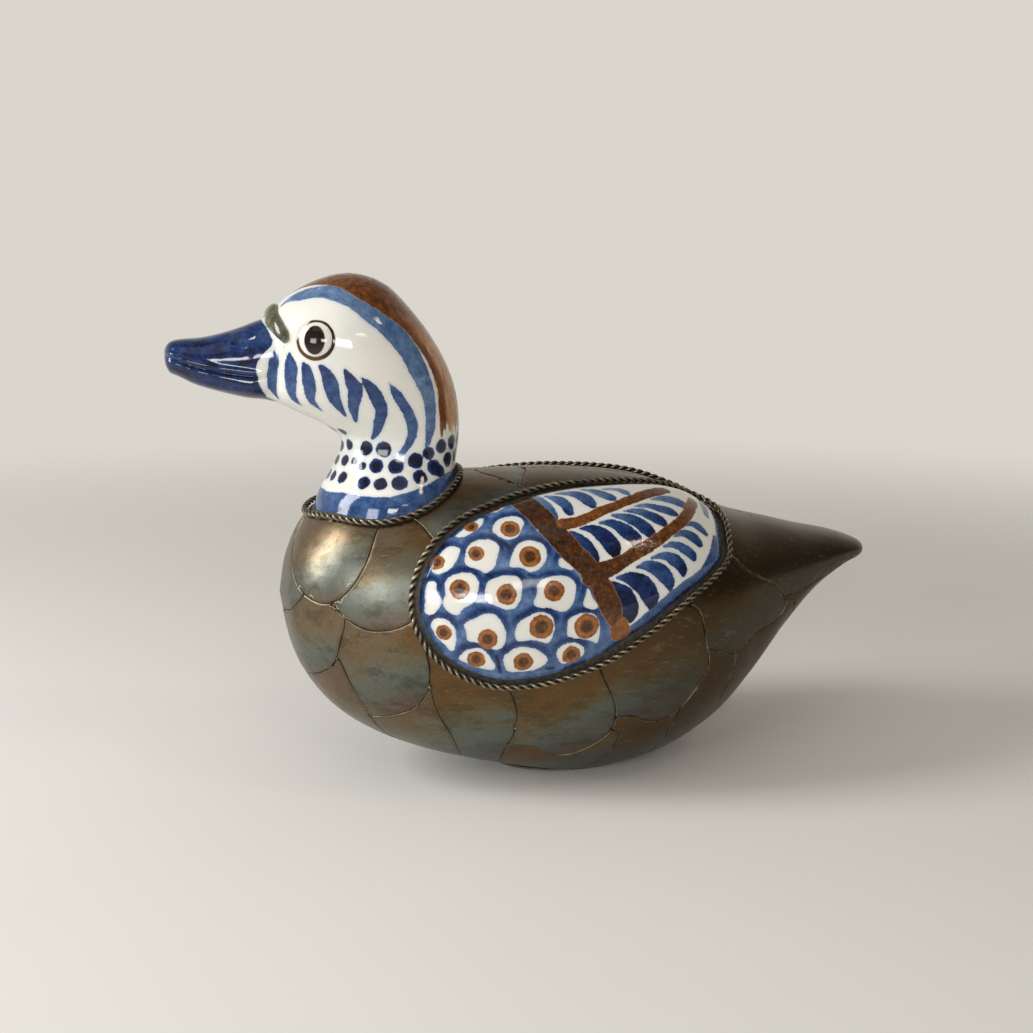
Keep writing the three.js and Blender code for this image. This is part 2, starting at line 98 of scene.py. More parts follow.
# The dark body shows in the seams at this height over the casting
SOLDER_RISE = 0.45
HEAD_VOXEL = 0.75
PLATE_THICKNESS = 0.8
# A feather is pressed down along its edge, and crowned over its reach
PRESSED_EDGE, PRESSED_DEPTH = 0.45, 0.15
CROWN_REACH, CROWN_RISE = 7, 0.12
# Share of a feather's thickness that is shown, so that it stays clear of the dark casting below
SHOWN_THICKNESS = 0.8
# Painted shade darkens the metal from here to the rear, over this length
SHADE_FROM_X, SHADE_OVER = -75, 150
FOOT_X, FOOT_LENGTH, FOOT_WIDTH = 12.0, 62.0, 44.0
# The camera: focal length and width of the frame in its pixels; azimuth, elevation and distance in metres
FOCAL_PIXELS, FRAME_PIXELS = 1390, 1033
VIEW = (-13, 11, 0.586)
# The lamps: name, azimuth, elevation, distance and size in metres, watts and colour
LAMPS = [
    ("window", -90, 26, 1.15, (0.34, 0.7), 9.4, (0.98, 0.99, 1.0)),
    ("near_window", -47, 11, 1.3, (0.36, 0.26), 2.8, (0.99, 0.99, 1.0)),
    ("low_window", -17, 14, 1.2, (0.3, 0.16), 2.6, (0.98, 0.99, 1.0)),
    ("high_window", -30, 64, 1.5, (1.2, 1.2), 2.5, (1.0, 0.98, 0.95)),
    ("room", 5, 27, 1.6, (0.3, 0.16), 1.0, (1.0, 0.92, 0.82)),
    ("ceiling", 47, 49, 1.6, (0.14, 0.14), 0.9, (1.0, 0.84, 0.66)),
]

# Body: share of its length, then back, keel, half width and waist as shares of its height and width
BODY_STATIONS = [
    (0, 0.62, 0.62, 0, 0.62), (0.014, 0.745, 0.46, 0.31, 0.614), (0.045, 0.858, 0.33, 0.51, 0.602),
    (0.1, 0.945, 0.215, 0.69, 0.577), (0.19, 0.98, 0.118, 0.865, 0.548), (0.32, 0.977, 0.04, 0.98, 0.523),
    (0.46, 0.975, -0.012, 1, 0.52), (0.59, 0.943, 0.02, 0.945, 0.53), (0.69, 0.865, 0.112, 0.8, 0.56),
    (0.76, 0.812, 0.238, 0.64, 0.598), (0.825, 0.78, 0.402, 0.5, 0.628), (0.885, 0.75, 0.538, 0.385, 0.652),
    (0.945, 0.724, 0.62, 0.27, 0.672), (0.985, 0.698, 0.65, 0.16, 0.675), (1, 0.676, 0.676, 0, 0.676),
]
# Neck and head: share of their height, then front, back and half width
HEAD_RINGS = [
    (0, -0.365, 0.38, 1.18), (0.11, -0.338, 0.378, 1.13), (0.178, -0.29, 0.37, 0.99),
    (0.236, -0.25, 0.37, 0.86), (0.315, -0.213, 0.385, 0.81), (0.36, -0.232, 0.39, 0.815),
    (0.415, -0.335, 0.39, 0.85), (0.473, -0.48, 0.385, 0.895), (0.52, -0.585, 0.375, 0.935),
    (0.58, -0.625, 0.355, 0.975), (0.665, -0.615, 0.31, 1), (0.76, -0.6, 0.24, 0.965),
    (0.83, -0.56, 0.175, 0.88), (0.9, -0.475, 0.1, 0.73), (0.955, -0.365, 0.025, 0.52),
    (0.99, -0.245, -0.075, 0.24), (1, -0.16, -0.16, 0),
]
# Bill: share of its length, then top, bottom and half width
BILL_STATIONS = [
    (0, 0.55, -0.62, 1.06), (0.22, 0.485, -0.524, 0.98), (0.39, 0.39, -0.476, 0.89),
    (0.55, 0.315, -0.38, 0.83), (0.71, 0.265, -0.29, 0.79), (0.86, 0.25, -0.165, 0.7),
    (0.95, 0.22, -0.1, 0.5), (0.99, 0.14, -0.05, 0.26), (1, 0.04, 0.04, 0),
]
# Outlines on the body: percent of its length, and degrees down its left side from the middle of the back
WING_OUTLINE = [
    (17.9, 77), (19.6, 61), (24.5, 44.5), (31.3, 33), (38.3, 25.5), (45.3, 21), (52, 18), (58.5, 15),
    (64, 12), (67.8, 11), (70, 17), (70.4, 30), (69.6, 46), (68.3, 60), (64.8, 69.5), (60, 77.5),
    (54, 87), (47.4, 94), (41.1, 98.5), (35.5, 101.5), (29.3, 102.5), (23.2, 98), (18.9, 88),
]
# Feathers in the order in which they overlap: name, whether there is one on each side, and the outline
FEATHERS = [
    ("breast", True, [(14.5, 36), (13.4, 48), (11.5, 63), (9, 75), (6.4, 82), (4.2, 82), (2.5, 74),
                      (1.7, 52), (1.9, 22), (3, 5), (6, 2), (10, 12)]),
    ("breast_middle", False, [(6, 0), (5, 30), (4.5, 60), (3.2, 76), (1.3, 96), (0.5, 130), (0.4, 180),
                              (0, 180), (0, 90), (0, 0)]),
    ("throat_side", True, [(12, 34), (18.5, 39), (21.6, 50), (23, 64), (21, 77), (17.4, 84.5), (14.9, 88),
                           (11.5, 89.8), (8.8, 87.5), (6.5, 80), (7, 62), (9, 46)]),
    ("breast_lower", True, [(0.3, 190), (0.8, 100), (3, 68), (7, 74), (8.4, 87), (7.7, 100), (6.9, 114),
                            (5.2, 130), (3.8, 150), (3.2, 184)]),
    ("keel_front", False, [(2.4, 180), (4.5, 130), (7, 108), (9.3, 121), (11.5, 134), (15.5, 154),
                           (22, 168), (24, 180)]),
    ("breast_flank", True, [(8, 82), (16, 80), (19, 88), (20.2, 98), (20.2, 108), (18.8, 118),
                            (15.6, 129), (11, 142), (8, 128), (6, 108), (6.5, 90)]),
    ("belly_front", True, [(10, 142), (14, 118), (19.5, 104), (21.5, 118), (24, 131), (26, 145),
                           (28, 165), (28.5, 188), (20, 190), (14, 160)]),
    ("flank_front", True, [(18, 96), (20, 76), (27, 88), (31, 100), (33.3, 112), (33.5, 124), (32.8, 136),
                           (33, 155), (35, 188), (26, 190), (22, 150), (18.5, 112)]),
    ("flank_middle", True, [(28, 94), (38, 86), (44, 92), (47.2, 103), (49, 113), (48.8, 122), (46, 130.5),
                            (41.8, 137), (37, 132.5), (32, 130), (30, 112)]),
    ("flank_rear", True, [(43, 90), (54, 76), (62, 82), (63.6, 94), (64.6, 104), (62.6, 113), (58.5, 122),
                          (55, 121), (51.5, 116.5), (47, 115.5), (44, 104)]),
    ("rump_side", True, [(60, 90), (62, 72), (68, 55), (73, 70), (76.7, 82), (79.7, 94), (81, 104),
                         (80, 111), (74.7, 106), (70, 106.5), (66, 100), (62.5, 96)]),
    ("belly_middle", True, [(30, 124), (40, 122), (50, 124), (49, 140), (46, 160), (48, 190), (34, 190),
                            (31.5, 150)]),
    ("belly_rear", True, [(44, 108), (53, 108), (60, 114), (59.5, 130), (58, 150), (60, 190), (44, 190),
                          (44, 150)]),
    ("thigh", True, [(60, 90), (66, 96), (70, 106), (69, 125), (66, 150), (68, 190), (58, 190), (56, 150),
                     (57, 115)]),
    ("rump_lower", True, [(67, 96), (76, 98), (83, 112), (82, 140), (81, 190), (64, 190), (65, 150),
                          (67, 120)]),
    ("tail_underside", False, [(79, 180), (79.5, 140), (80, 100), (84.3, 105), (88, 110), (93, 112),
                               (97, 112), (98.5, 130), (99, 180)]),
    ("shoulder", True, [(13, 34), (18.5, 42), (22, 54), (27, 52), (33, 38), (39, 27), (36.3, 18.5),
                        (34, 11), (32, 4), (31.6, -4), (24, -6), (18, 14)]),
    ("back_front", False, [(30, 0), (31, 12), (36.4, 21), (38.5, 10), (39.8, 0), (38.5, -10),
                           (36.4, -21), (31, -12)]),
    ("back_middle", False, [(36, 0), (36, 26), (46, 28), (58, 26), (68, 24), (72, 10), (73, 0), (72, -10),
                            (68, -24), (58, -26), (46, -28), (36, -26)]),
]

# Wet paint spreads beyond the brush, and cobalt soaks in deeper at both ends of a stroke
BLUE_SPREAD, BROWN_SPREAD, BLUE_SOAK = 1.18, 1.2, (0.06, 0.04)
# Brush strokes on the wing: depth of colour at the start and at the end, then percent, degrees and width
WING_BLUE = [
    (0.15, 0.6, [(38.1, 28.8, 0.8), (38.8, 33.4, 2.6), (39.4, 37.4, 3.5), (40, 41.3, 3), (40.4, 44.6, 1.3)]),
    (0.2, 0.75, [(40, 31.8, 1.5), (41.6, 34.9, 4.3), (42.4, 38.3, 4.2), (42.6, 41.6, 3.1)]),
    (0.15, 0.7, [(41.6, 30.4, 1), (43.8, 31, 3.6), (45.2, 33, 5), (46.1, 36.2, 4.8), (46.4, 38.6, 2.5)]),
    (0.12, 0.6, [(45.8, 28.2, 1), (47.6, 29.9, 3.2), (48.8, 32.2, 4.3), (49.9, 34.2, 3.8),
                 (50.1, 35.4, 1.7)]),
    (0.1, 0.4, [(49.3, 28.4, 0.8), (51.5, 28.8, 2.4), (52.6, 30.7, 3), (53.1, 32.2, 1.5)]),
    (0.6, 0.98, [(42, 49.9, 0.9), (43.3, 52.7, 3.6), (44.3, 56.5, 5), (44.9, 60.1, 4.3), (45, 62, 1.7)]),
    (0.6, 1, [(43.6, 48.8, 0.6), (45.5, 49, 3.3), (47, 51.8, 5.7), (48.2, 56.1, 5.7), (48.4, 59.2, 2.9)]),
    (0.4, 0.98, [(47, 46.5, 1), (48.9, 46.9, 3.4), (50.6, 49.8, 5.3), (51.9, 53.1, 5.1), (52.1, 55.4, 2.6)]),
    (0.35, 0.95, [(49.2, 43.3, 1.1), (51.1, 44.1, 3.3), (53.1, 46.5, 4.9), (54.3, 49.7, 4.9),
                  (54.8, 52.4, 2.4)]),
    (0.25, 0.85, [(51.2, 41.3, 0.7), (53.2, 41.1, 2.7), (55, 42.7, 3.9), (56.6, 45, 4.4), (57.3, 46.8, 2.3)]),
    (0.2, 0.75, [(53.2, 38.8, 0.7), (55.3, 38.2, 2.3), (57.2, 39.2, 3.4), (58.9, 40.3, 3.8),
                 (59.8, 41.4, 1.8)]),
    (0.15, 0.7, [(56.4, 34.5, 0.8), (58.3, 33.4, 2.9), (60.3, 33.3, 4.6), (61.8, 34.5, 4.4),
                 (62.4, 36.1, 2)]),
    (0.7, 1, [(46.6, 68.8, 1.1), (48, 71.4, 4.9), (49.2, 74.3, 7.2), (49.8, 78.2, 7.3), (50, 81.3, 4)]),
    (0.55, 0.98, [(48.2, 67.5, 0.8), (50.3, 67.9, 4.4), (52.2, 70.4, 6.7), (53.4, 74.5, 6.4),
                  (53.5, 77.6, 3)]),
    (0.4, 0.85, [(51.6, 63.9, 0.7), (53.6, 63.8, 4), (55.5, 66.3, 5.6), (56.6, 70, 4.3), (56.7, 72.1, 1.8)]),
    (0.35, 0.9, [(54.2, 60.8, 0.9), (56.3, 60.1, 3), (58, 62, 4.8), (59, 65.1, 3.9), (59.1, 67.5, 1.6)]),
    (0.3, 0.8, [(56.3, 56.5, 0.6), (58.1, 55.5, 2.5), (59.9, 57.5, 4.1), (60.9, 59.6, 3.6),
                (61.2, 61.4, 1.4)]),
    (0.3, 0.7, [(58.2, 52.4, 0.6), (60, 50.2, 2.7), (61.7, 51.6, 4.4), (62.6, 53.9, 3.3)]),
    (0.25, 0.6, [(60.5, 46.5, 0.6), (62, 45, 2.3), (63.5, 46, 3.6), (64.4, 48.2, 2.4)]),
    (0.55, 0.5, [(66.5, 50, 3.5), (65, 60, 4.4), (62.2, 69.8, 5.3), (58, 77, 6.5), (55.9, 81.5, 7.1),
                 (51.2, 87.5, 7.2), (49.1, 90.9, 7.2), (46.1, 94.9, 6.6), (41.9, 99.2, 4.7)]),
    (0.8, 0.55, [(34.6, 29, 1.4), (38.4, 25.5, 1.2), (45, 21.8, 1.1), (52, 18.8, 1.2), (58.5, 15.9, 1.3),
                 (64, 13.2, 1.6), (67.3, 13, 2), (69.2, 18, 2), (69.5, 30, 2.2), (68.6, 45, 2.6)]),
    (0.35, 0.3, [(66.8, 20, 3), (66.5, 28, 3.4), (66, 36, 2.4)]),
]
WING_BROWN = [
    (0.55, 0.7, [(40.5, 47.1, 4.7), (44, 45.5, 3.7), (47.6, 41.4, 3.6), (51.4, 37.2, 3.7), (54.7, 32.9, 4.2),
                 (57.4, 29.5, 4.6), (59.6, 26.5, 4.1)]),
    (0.8, 0.55, [(43.9, 67.1, 5.2), (45.9, 65, 5.8), (49.3, 61.9, 4.5), (51.7, 58.7, 4.4), (54.1, 55.9, 4.2),
                 (56.6, 51.9, 4), (59.3, 46.9, 4), (61.2, 42, 4), (62.9, 35.5, 4.2), (64.2, 28.5, 4)]),
    (0.9, 0.7, [(35.6, 28.5, 8), (36.9, 37.9, 8.2), (38.4, 44.8, 8), (39.9, 50.6, 7.8), (41.9, 57.8, 7.5),
                (43.7, 62.8, 7), (45.4, 68.7, 6.8), (46.4, 74, 7.2), (47.2, 78.7, 6.6), (47.4, 81, 5.1)]),
    (0.45, 0.45, [(48.4, 84.2, 6.6), (48.6, 85.6, 7.2)]),
]
# Width of the blue band along the wing's rim, by the direction from its middle: 0 is to the rear, 90 down
WING_BAND = [(-90, 1.8), (-50, 2.8), (-20, 5), (10, 5.6), (50, 5.8), (90, 4), (130, 2.6), (180, 2.2),
             (225, 1.8)]
# White cells of the blue field, and the brown dots in them: percent, degrees and width
WING_FIELD = [(34, 14), (35.4, 29), (36.9, 37.9), (38.4, 44.8), (39.9, 50.6), (41.9, 57.8), (43.7, 62.8),
              (45.4, 68.7), (46.4, 74), (47.2, 78.7), (47.6, 86), (47, 112), (12, 112), (12, 40), (22, 14)]
WING_CELLS = [
    [(30.2, 37.2), (31.6, 33.3), (33.1, 31.4), (33.7, 33.7), (32.6, 36.8), (31.2, 38.5)],
    [(29.5, 41.3), (28.8, 45.6), (27.2, 48.7), (25.7, 50.3), (24.6, 49.1), (26.2, 44), (28.1, 41)],
    [(30.4, 47.7), (31.2, 43.9), (32.8, 41.8), (34.7, 42.2), (35.3, 44.6), (34.8, 48.2), (33.9, 51),
     (32, 51.7)],
    [(25.3, 55.1), (24.8, 59.6), (23.6, 63.3), (22, 65.2), (20.8, 63.9), (21, 61.2), (22.4, 57.2),
     (23.9, 54.1)],
    [(25.9, 61.1), (26.2, 56.8), (26.8, 53.5), (28.3, 51.7), (30.1, 51.8), (31, 54.1), (30.6, 58.9),
     (29.9, 62.5), (28.7, 64.3), (27.6, 63.1)],
    [(32.2, 62), (32.7, 58.4), (33.5, 54.8), (34.9, 52.7), (36.7, 53), (37.9, 55.2), (37.9, 58.9),
     (37.1, 62.2), (35.1, 64.3), (34, 62.5)],
    [(19.2, 73.7), (20.3, 68.3), (21.5, 68.1), (21.6, 71.7), (22.2, 74), (22, 77), (20.3, 80.6),
     (19.4, 78.3)],
    [(22.8, 68.6), (23.7, 65.9), (25.4, 64.4), (27, 65), (27.7, 68), (27.4, 71.9), (26.6, 74.8),
     (25.3, 77), (24.5, 79.4), (22.9, 78.3), (22.4, 76.1), (22.8, 72.5)],
    [(28.9, 67.4), (30.6, 65.6), (32.4, 65), (33.6, 66.3), (33.8, 69.8), (33.4, 74), (32.5, 76.4),
     (31.5, 76.6), (30.3, 75.8), (28.5, 73.7)],
    [(36.2, 68), (37.5, 66.2), (40.1, 66), (41.5, 67.5), (41.7, 71.4), (41.2, 75.5), (39.7, 77.8),
     (38, 76.5), (35.3, 75.2), (35.8, 72.2)],
    [(20.5, 83.9), (21.3, 81.5), (22.7, 81.3), (23.7, 83), (24.2, 86.1), (24, 89.3), (23.6, 91.9),
     (22.4, 89.8), (21.4, 87.9), (20.9, 86.2)],
    [(25.3, 82.6), (26.7, 80), (28.3, 78.3), (29.7, 78.4), (30.7, 80.9), (31.2, 84.1), (31.1, 87.7),
     (30.4, 89.5), (29.4, 89.6), (27.4, 87.8), (25.8, 87.8), (25.6, 85.4)],
    [(32.8, 81.8), (34.1, 79.3), (36, 77.5), (37.4, 78.1), (38.2, 80.1), (38.2, 84.7), (37.4, 87.8),
     (35.5, 86.6), (32.7, 86.6)],
    [(40.4, 80.5), (41.8, 78.9), (43.9, 78.8), (45, 80.6), (44.9, 89.2), (44, 87.8), (40.9, 86.4),
     (40.3, 86)],
    [(24.4, 93.8), (25.6, 90.6), (27.4, 89.7), (28.4, 90.4), (29.2, 92.5), (29.8, 95.1), (29.5, 96.5),
     (27.6, 96.2), (26, 95.1)],
    [(30.9, 91.7), (32, 89.6), (33.8, 88.5), (35.5, 89.3), (36.8, 90.8), (37.4, 92.6), (36.8, 94.4),
     (35.4, 95.6), (33.1, 96.4), (31.5, 96.3), (31, 93.9)],
    [(38.6, 91), (39.2, 88.8), (40.7, 87.8), (42.4, 88.9), (43, 90.8), (42.4, 93.2), (40.9, 94.4),
     (39.4, 93.7)],
    [(37, 48.5), (37.5, 47.4), (38.1, 49.3), (37.8, 50.3)],
    [(39.6, 62.6), (39.9, 59.3), (40.9, 61.2), (41.8, 63.8), (40.6, 63.7)],
    [(42.8, 76.5), (43.1, 72.9), (43.6, 70.3), (44.2, 73.5), (45, 77)],
]
WING_DOTS = [
    (31.8, 35.9, 3.6), (27.5, 45.3, 5.4), (33.1, 47.4, 7.6), (21.9, 60.6, 5.9), (27.6, 57.1, 6.1),
    (35.4, 58.5, 8.4), (24.9, 70.4, 7.6), (31.5, 71.6, 7.8), (38.5, 70.8, 7.8), (22.4, 85.9, 6.1),
    (28.6, 86.6, 7.6), (36.4, 82.4, 9.2), (43.2, 83, 9.8), (27, 93.2, 6.8), (33.8, 93, 7.6),
    (41, 91.4, 7.4),
]
# Short darker touches between the cells: depth of colour, then percent, degrees and width
WING_ACCENTS = [
    (0.9, [(31.4, 52.2, 1.2), (32.1, 53.6, 1.9), (32.6, 55.4, 1.4)]),
    (0.9, [(28.8, 64.9, 0.9), (29.6, 65.4, 1.6)]),
    (0.85, [(34.9, 64.9, 1), (35.8, 65.6, 1.7)]),
    (0.8, [(22.3, 54.8, 1), (22.9, 52.7, 2)]),
    (0.95, [(29.9, 91.4, 1.4), (30.2, 94.1, 1.7), (30.5, 97, 1.2)]),
    (0.9, [(37.2, 95.2, 1.2), (38.2, 95.4, 1.9)]),
]
# Brush strokes on the head: depth at both ends, then millimetres over the neck's foot, degrees from its
# back round its left side, and width
HEAD_BLUE = [
    (0.62, 0.55, [(70.2, 147, 2), (66.4, 147, 4.6), (60.4, 148, 4.6), (54.8, 150, 2.9), (51.5, 153, 0.6)]),
    (0.66, 0.55, [(69.4, 134, 1.8), (64, 133, 5.6), (59.7, 133, 5.4), (53, 136, 3.4), (49, 140, 0.6)]),
    (0.75, 0.6, [(65.8, 124, 1.8), (63.2, 122, 4.2), (57.2, 121, 5.1), (51.5, 125, 3.2), (47.2, 130, 0.8)]),
    (0.75, 0.6, [(64.8, 113, 2), (62.2, 110, 4.4), (57.3, 108, 5.8), (51.7, 110, 4.8), (45.4, 118, 1)]),
    (0.8, 0.6, [(63.6, 99, 0.9), (60, 97, 3.9), (56.2, 95, 5.7), (52.3, 98, 5), (47.9, 106, 3.6),
                (43, 117, 1.5)]),
    (0.75, 0.6, [(60.5, 90, 1), (56.1, 86, 4.6), (50.5, 86, 5.2), (47.1, 90, 5), (42.5, 101, 4.1),
                 (38.5, 112, 3), (36, 121, 1.3)]),
    (0.65, 0.5, [(58.1, 75, 0.5), (54.1, 73, 3.4), (49.6, 72, 4.1), (43.9, 75, 4.5), (39.4, 80, 4.2),
                 (33.8, 90, 3), (30, 96, 2.2)]),
    (0.3, 0.4, [(87.5, 162, 1.2), (90, 158, 3.8), (91.6, 146, 6.6), (92.9, 128, 7.3), (93, 114, 7.5),
                (91.8, 99, 7.4), (90, 87, 7.2), (88.2, 80, 7.6), (85, 71, 9), (82, 64, 9.4), (77.5, 59, 9.4),
                (73.5, 56, 9.4), (69.2, 54, 9.2), (64.2, 53, 8.8), (60, 52, 7.8), (54.2, 51, 6.5),
                (49.2, 53, 5.5), (44, 58, 4.8), (38, 66, 3.7), (32.8, 72, 1.7)]),
    (0.6, 0.55, [(8.3, 200, 12), (8.3, 160, 12), (8.5, 133, 13), (8, 119, 13), (8, 106, 13), (8, 94, 13.5),
                 (9, 82, 14.5), (10, 69, 15), (11.6, 52, 16), (13.2, 30, 16.5), (13.8, 0, 17),
                 (13.8, -20, 17)]),
]
# Dots round the neck: millimetres over its foot, degrees and width
NECK_DOTS = [
    (37.9, 150, 4.2), (38.4, 165, 4), (32.4, 154, 4.4), (31.6, 131, 5.8), (31.6, 113, 6.4), (29.8, 69, 5.2),
    (32, 55, 5.6), (32.9, 39, 5.8), (33.4, 22, 5.6), (33.6, 6, 5.4), (26, 155, 4.8), (26.4, 141, 3.4),
    (24.6, 130, 3.6), (25.2, 116, 6), (25.1, 98, 6.1), (27.1, 81, 6.3), (24, 60, 6.4), (26.2, 42, 6),
    (27, 24, 5.8), (27.4, 8, 5.6), (19.6, 164, 4.6), (19.8, 148, 5.2), (18.8, 123, 5.6), (18.7, 108, 5.6),
    (19.2, 92, 6.4), (20.9, 74, 6.2), (22.4, 53, 5.8), (31, 172, 4.4), (25.4, 174, 4.6), (19.4, 178, 4.6),
]
# Edge of the brown crown on the left, from the forehead to the nape
CROWN_EDGE = [
    (92, 180), (93, 176), (94.6, 164), (95.6, 137), (95.2, 107), (92.8, 89), (90.5, 79), (85.5, 63),
    (82.6, 56), (79, 50), (73.3, 46), (69.3, 44), (61.9, 42), (54.4, 42), (44.5, 49), (38, 55), (32, 60),
]
# The brown ends in streaks at this height over the neck's foot, and stays off the throat: below its top and
# ahead of its X. Seen from the head's centre it lies on the left of its edge
CROWN_END = 38.5
THROAT_TOP, THROAT_X = 60, -72.5
HEAD_CENTRE = (-80, 0, 180)
# The raised band over the bill: millimetres over the neck's foot, degrees and width; then an eye's middle
BROW_PLACES = [(75.6, 137, 4.2), (77, 140, 5.4), (79.7, 148, 6.4), (82, 158, 6.8), (84.4, 170, 7),
               (85, 180, 7)]
EYE_PLACE = (74.9, 114.5)
# Where the blue of the bill ends, as Z and X; the line of the mouth and the nostril, as X and Z
BILL_EDGE = [(158.2, -107.8), (160, -110.6), (163.5, -112.4), (167, -114.3), (171.4, -115), (174.6, -114.3),
             (177.7, -111.8), (180.1, -109), (182.5, -108.1), (186.3, -109.8), (189.8, -111.9)]
MOUTH_LINE = [(-150, 176.6), (-147.8, 175.8), (-139.7, 172.5), (-128.6, 169.8), (-115.9, 168.1),
              (-108, 167.6)]
# Roll of the lower jaw: millimetres below the mouth line, and how far it stands out in depths of the groove
JAW_ROLL = [(0.3, 0), (1.2, 0.4), (2.6, 1.25), (3.6, 1.6), (4.6, 1.62), (6.5, 1.1), (9.5, 0)]
NOSTRIL = (-119.3, 182.6)
BILL_SIDE_X = -105
BROW_HALF_WIDTH = 3.1
GROOVE_START_X, GROOVE_END_X = -108, -149.5
EYE_RADIUS = 6.6
EYE_RING_RADIUS = 7.15
PUPIL_HALF_WIDTH, PUPIL_HALF_HEIGHT = 4.0, 5.35


def metres(name, description, default, least=0.0):
    """A size in metres."""
    return FloatProperty(name=name, description=description, default=default, min=least, unit="LENGTH",
                         precision=5)


def swatch(name, description, red, green, blue):
    """An opaque colour."""
    return FloatVectorProperty(name=name, description=description, subtype="COLOR", size=4,
                               default=(red, green, blue, 1))


class DuckSizes(bpy.types.PropertyGroup):
    sheet_thickness: metres("Sheet Thickness", "Thickness of the metal feathers", 0.0008, 0.0003)
    seam_width: metres("Seam Width", "Gap between two metal feathers", 0.00028, 0.0001)
    feather_step: metres("Feather Step", "Distance between the points of a metal feather", 0.0014, 0.0008)
    strand_diameter: metres("Strand Diameter", "Thickness of one wire of the twisted trims", 0.00132, 0.0005)
    twist_length: metres("Twist Length", "Length of trim in which the wires turn once", 0.0068, 0.003)
    eye_rise: metres("Eye Rise", "How far an eye swells from the head", 0.0014)
    brow_rise: metres("Brow Rise", "How far the olive band stands on the head", 0.0021)
    groove_depth: metres("Mouth Groove Depth", "Depth of the groove along the bill", 0.0013)
    smoothing: IntProperty(
        name="Fillet Smoothing", description="Rounds that blend the bill into the head", default=9, min=0)


class DuckColours(bpy.types.PropertyGroup):
    glaze: swatch("White Glaze", "Ground of the painted parts", 0.76, 0.735, 0.665)
    cobalt: swatch("Cobalt Blue", "Blue paint at middle depth", 0.017, 0.051, 0.16)
    iron: swatch("Iron Brown", "Brown paint at middle depth", 0.225, 0.075, 0.014)
    olive: swatch("Olive Glaze", "Glaze of the band over the bill", 0.088, 0.088, 0.05)
    # The feathers' colours, from the top of a feather to its foot: partly tarnish, partly painted reflection,
    # warm above and cool below
    warm_metal: swatch("Warm Metal", "Upper part of a metal feather", 0.175, 0.1, 0.04)
    olive_metal: swatch("Olive Metal", "Patina between the warm and the cool part", 0.18, 0.142, 0.076)
    cool_metal: swatch("Cool Metal", "Patina on the lower part of a feather", 0.155, 0.178, 0.155)
    purple_metal: swatch("Purple Metal", "Patina along the lower rim of a feather", 0.17, 0.115, 0.086)
    background: swatch("Background", "Plain pale background", 0.7, 0.67, 0.61)
    floor: swatch("Floor", "Plain pale floor", 0.83, 0.81, 0.77)


# Surfaces of the bird, in millimetres

def smooth_table(rows):
    """A smooth curve through the rows of a table, as a function of the row number."""
    table = np.array(rows, float)
    padded = np.vstack([table[1], table, table[-2]])

    def at(place):
        place = np.asarray(place, float)
        row = np.clip(np.floor(place).astype(int), 0, len(table) - 2)
        part = (place - row)[..., None]
        a, b, c, d = (padded[row + k] for k in range(4))
        return b + 0.5 * part * (c - a + part * (2 * a - 5 * b + 4 * c - d + part * (3 * (b - c) + d - a)))

    return at


body_station = smooth_table(BODY_STATIONS)
head_ring = smooth_table(HEAD_RINGS)
bill_station = smooth_table(BILL_STATIONS)
BODY_ROWS = np.linspace(0, len(BODY_STATIONS) - 1, 4000)
BODY_SHARES = body_station(BODY_ROWS)[:, 0]
HEAD_ROWS = np.linspace(0, len(HEAD_RINGS) - 1, 4000)
HEAD_SHARES = head_ring(HEAD_ROWS)[:, 0]
BILL_ROWS = np.linspace(0, len(BILL_STATIONS) - 1, 2000)
BILL_SHARES = bill_station(BILL_ROWS)[:, 0]


def rounded(value, power):
    return np.sign(value) * np.abs(value) ** power


def body_point(percent, girth):
    """Points of the cast body, at a percent of its length and degrees round from the middle of the back."""
    row = np.interp(np.asarray(percent, float) / 100, BODY_SHARES, BODY_ROWS)
    along, back, keel, half, waist = np.moveaxis(body_station(row), -1, 0)
    turn = np.radians(girth)
    up, side = rounded(np.cos(turn), BODY_FULLNESS), rounded(np.sin(turn), BODY_FULLNESS)
    rise = np.where(up > 0, back - waist, waist - keel) * BODY_HEIGHT
    z = np.maximum(waist * BODY_HEIGHT + up * rise, FOOT_Z)
    return np.stack([BREAST_X + along * BODY_LENGTH + 0 * z, -side * half * BODY_WIDTH / 2, z], -1)


def body_normal(percent, girth):
    percent, girth = np.clip(percent, 0.3, 99.7), np.asarray(girth, float)
    ahead = body_point(percent + 0.1, girth) - body_point(percent - 0.1, girth)
    around = body_point(percent, girth + 0.5) - body_point(percent, girth - 0.5)
    normal = np.cross(around, ahead)
    return normal / np.linalg.norm(normal, axis=-1, keepdims=True)


def over_body(percent, girth, height):
    return body_point(percent, girth) + np.asarray(height)[..., None] * body_normal(percent, girth)


def head_point(height, turn):
    """Points of the neck and head, at a height over the neck's foot and degrees round from its back."""
    row = np.interp(np.asarray(height, float) / HEAD_HEIGHT, HEAD_SHARES, HEAD_ROWS)
    share, front, back, half = np.moveaxis(head_ring(row), -1, 0)
    angle = np.radians(turn)
    x = NECK_X + ((front + back) / 2 + (back - front) / 2 * np.cos(angle)) * HEAD_LENGTH
    y = -half * HEAD_WIDTH / 2 * (1 + EGG_SHAPE * np.cos(angle)) * np.sin(angle)
    return np.stack([x, y, NECK_FOOT_Z + share * HEAD_HEIGHT + 0 * x], -1)


def bill_point(share, turn):
    row = np.interp(share, BILL_SHARES, BILL_ROWS)
    along, upper, lower, half = np.moveaxis(bill_station(row), -1, 0)
    angle = np.radians(turn)
    y = half * BILL_WIDTH / 2 * rounded(np.sin(angle), BILL_FULLNESS)
    z = MOUTH_Z + ((upper + lower) / 2 + (upper - lower) / 2 * np.cos(angle)) * BILL_HEIGHT
    return np.stack([BILL_ROOT_X - along * BILL_LENGTH + 0 * y, y, z], -1)


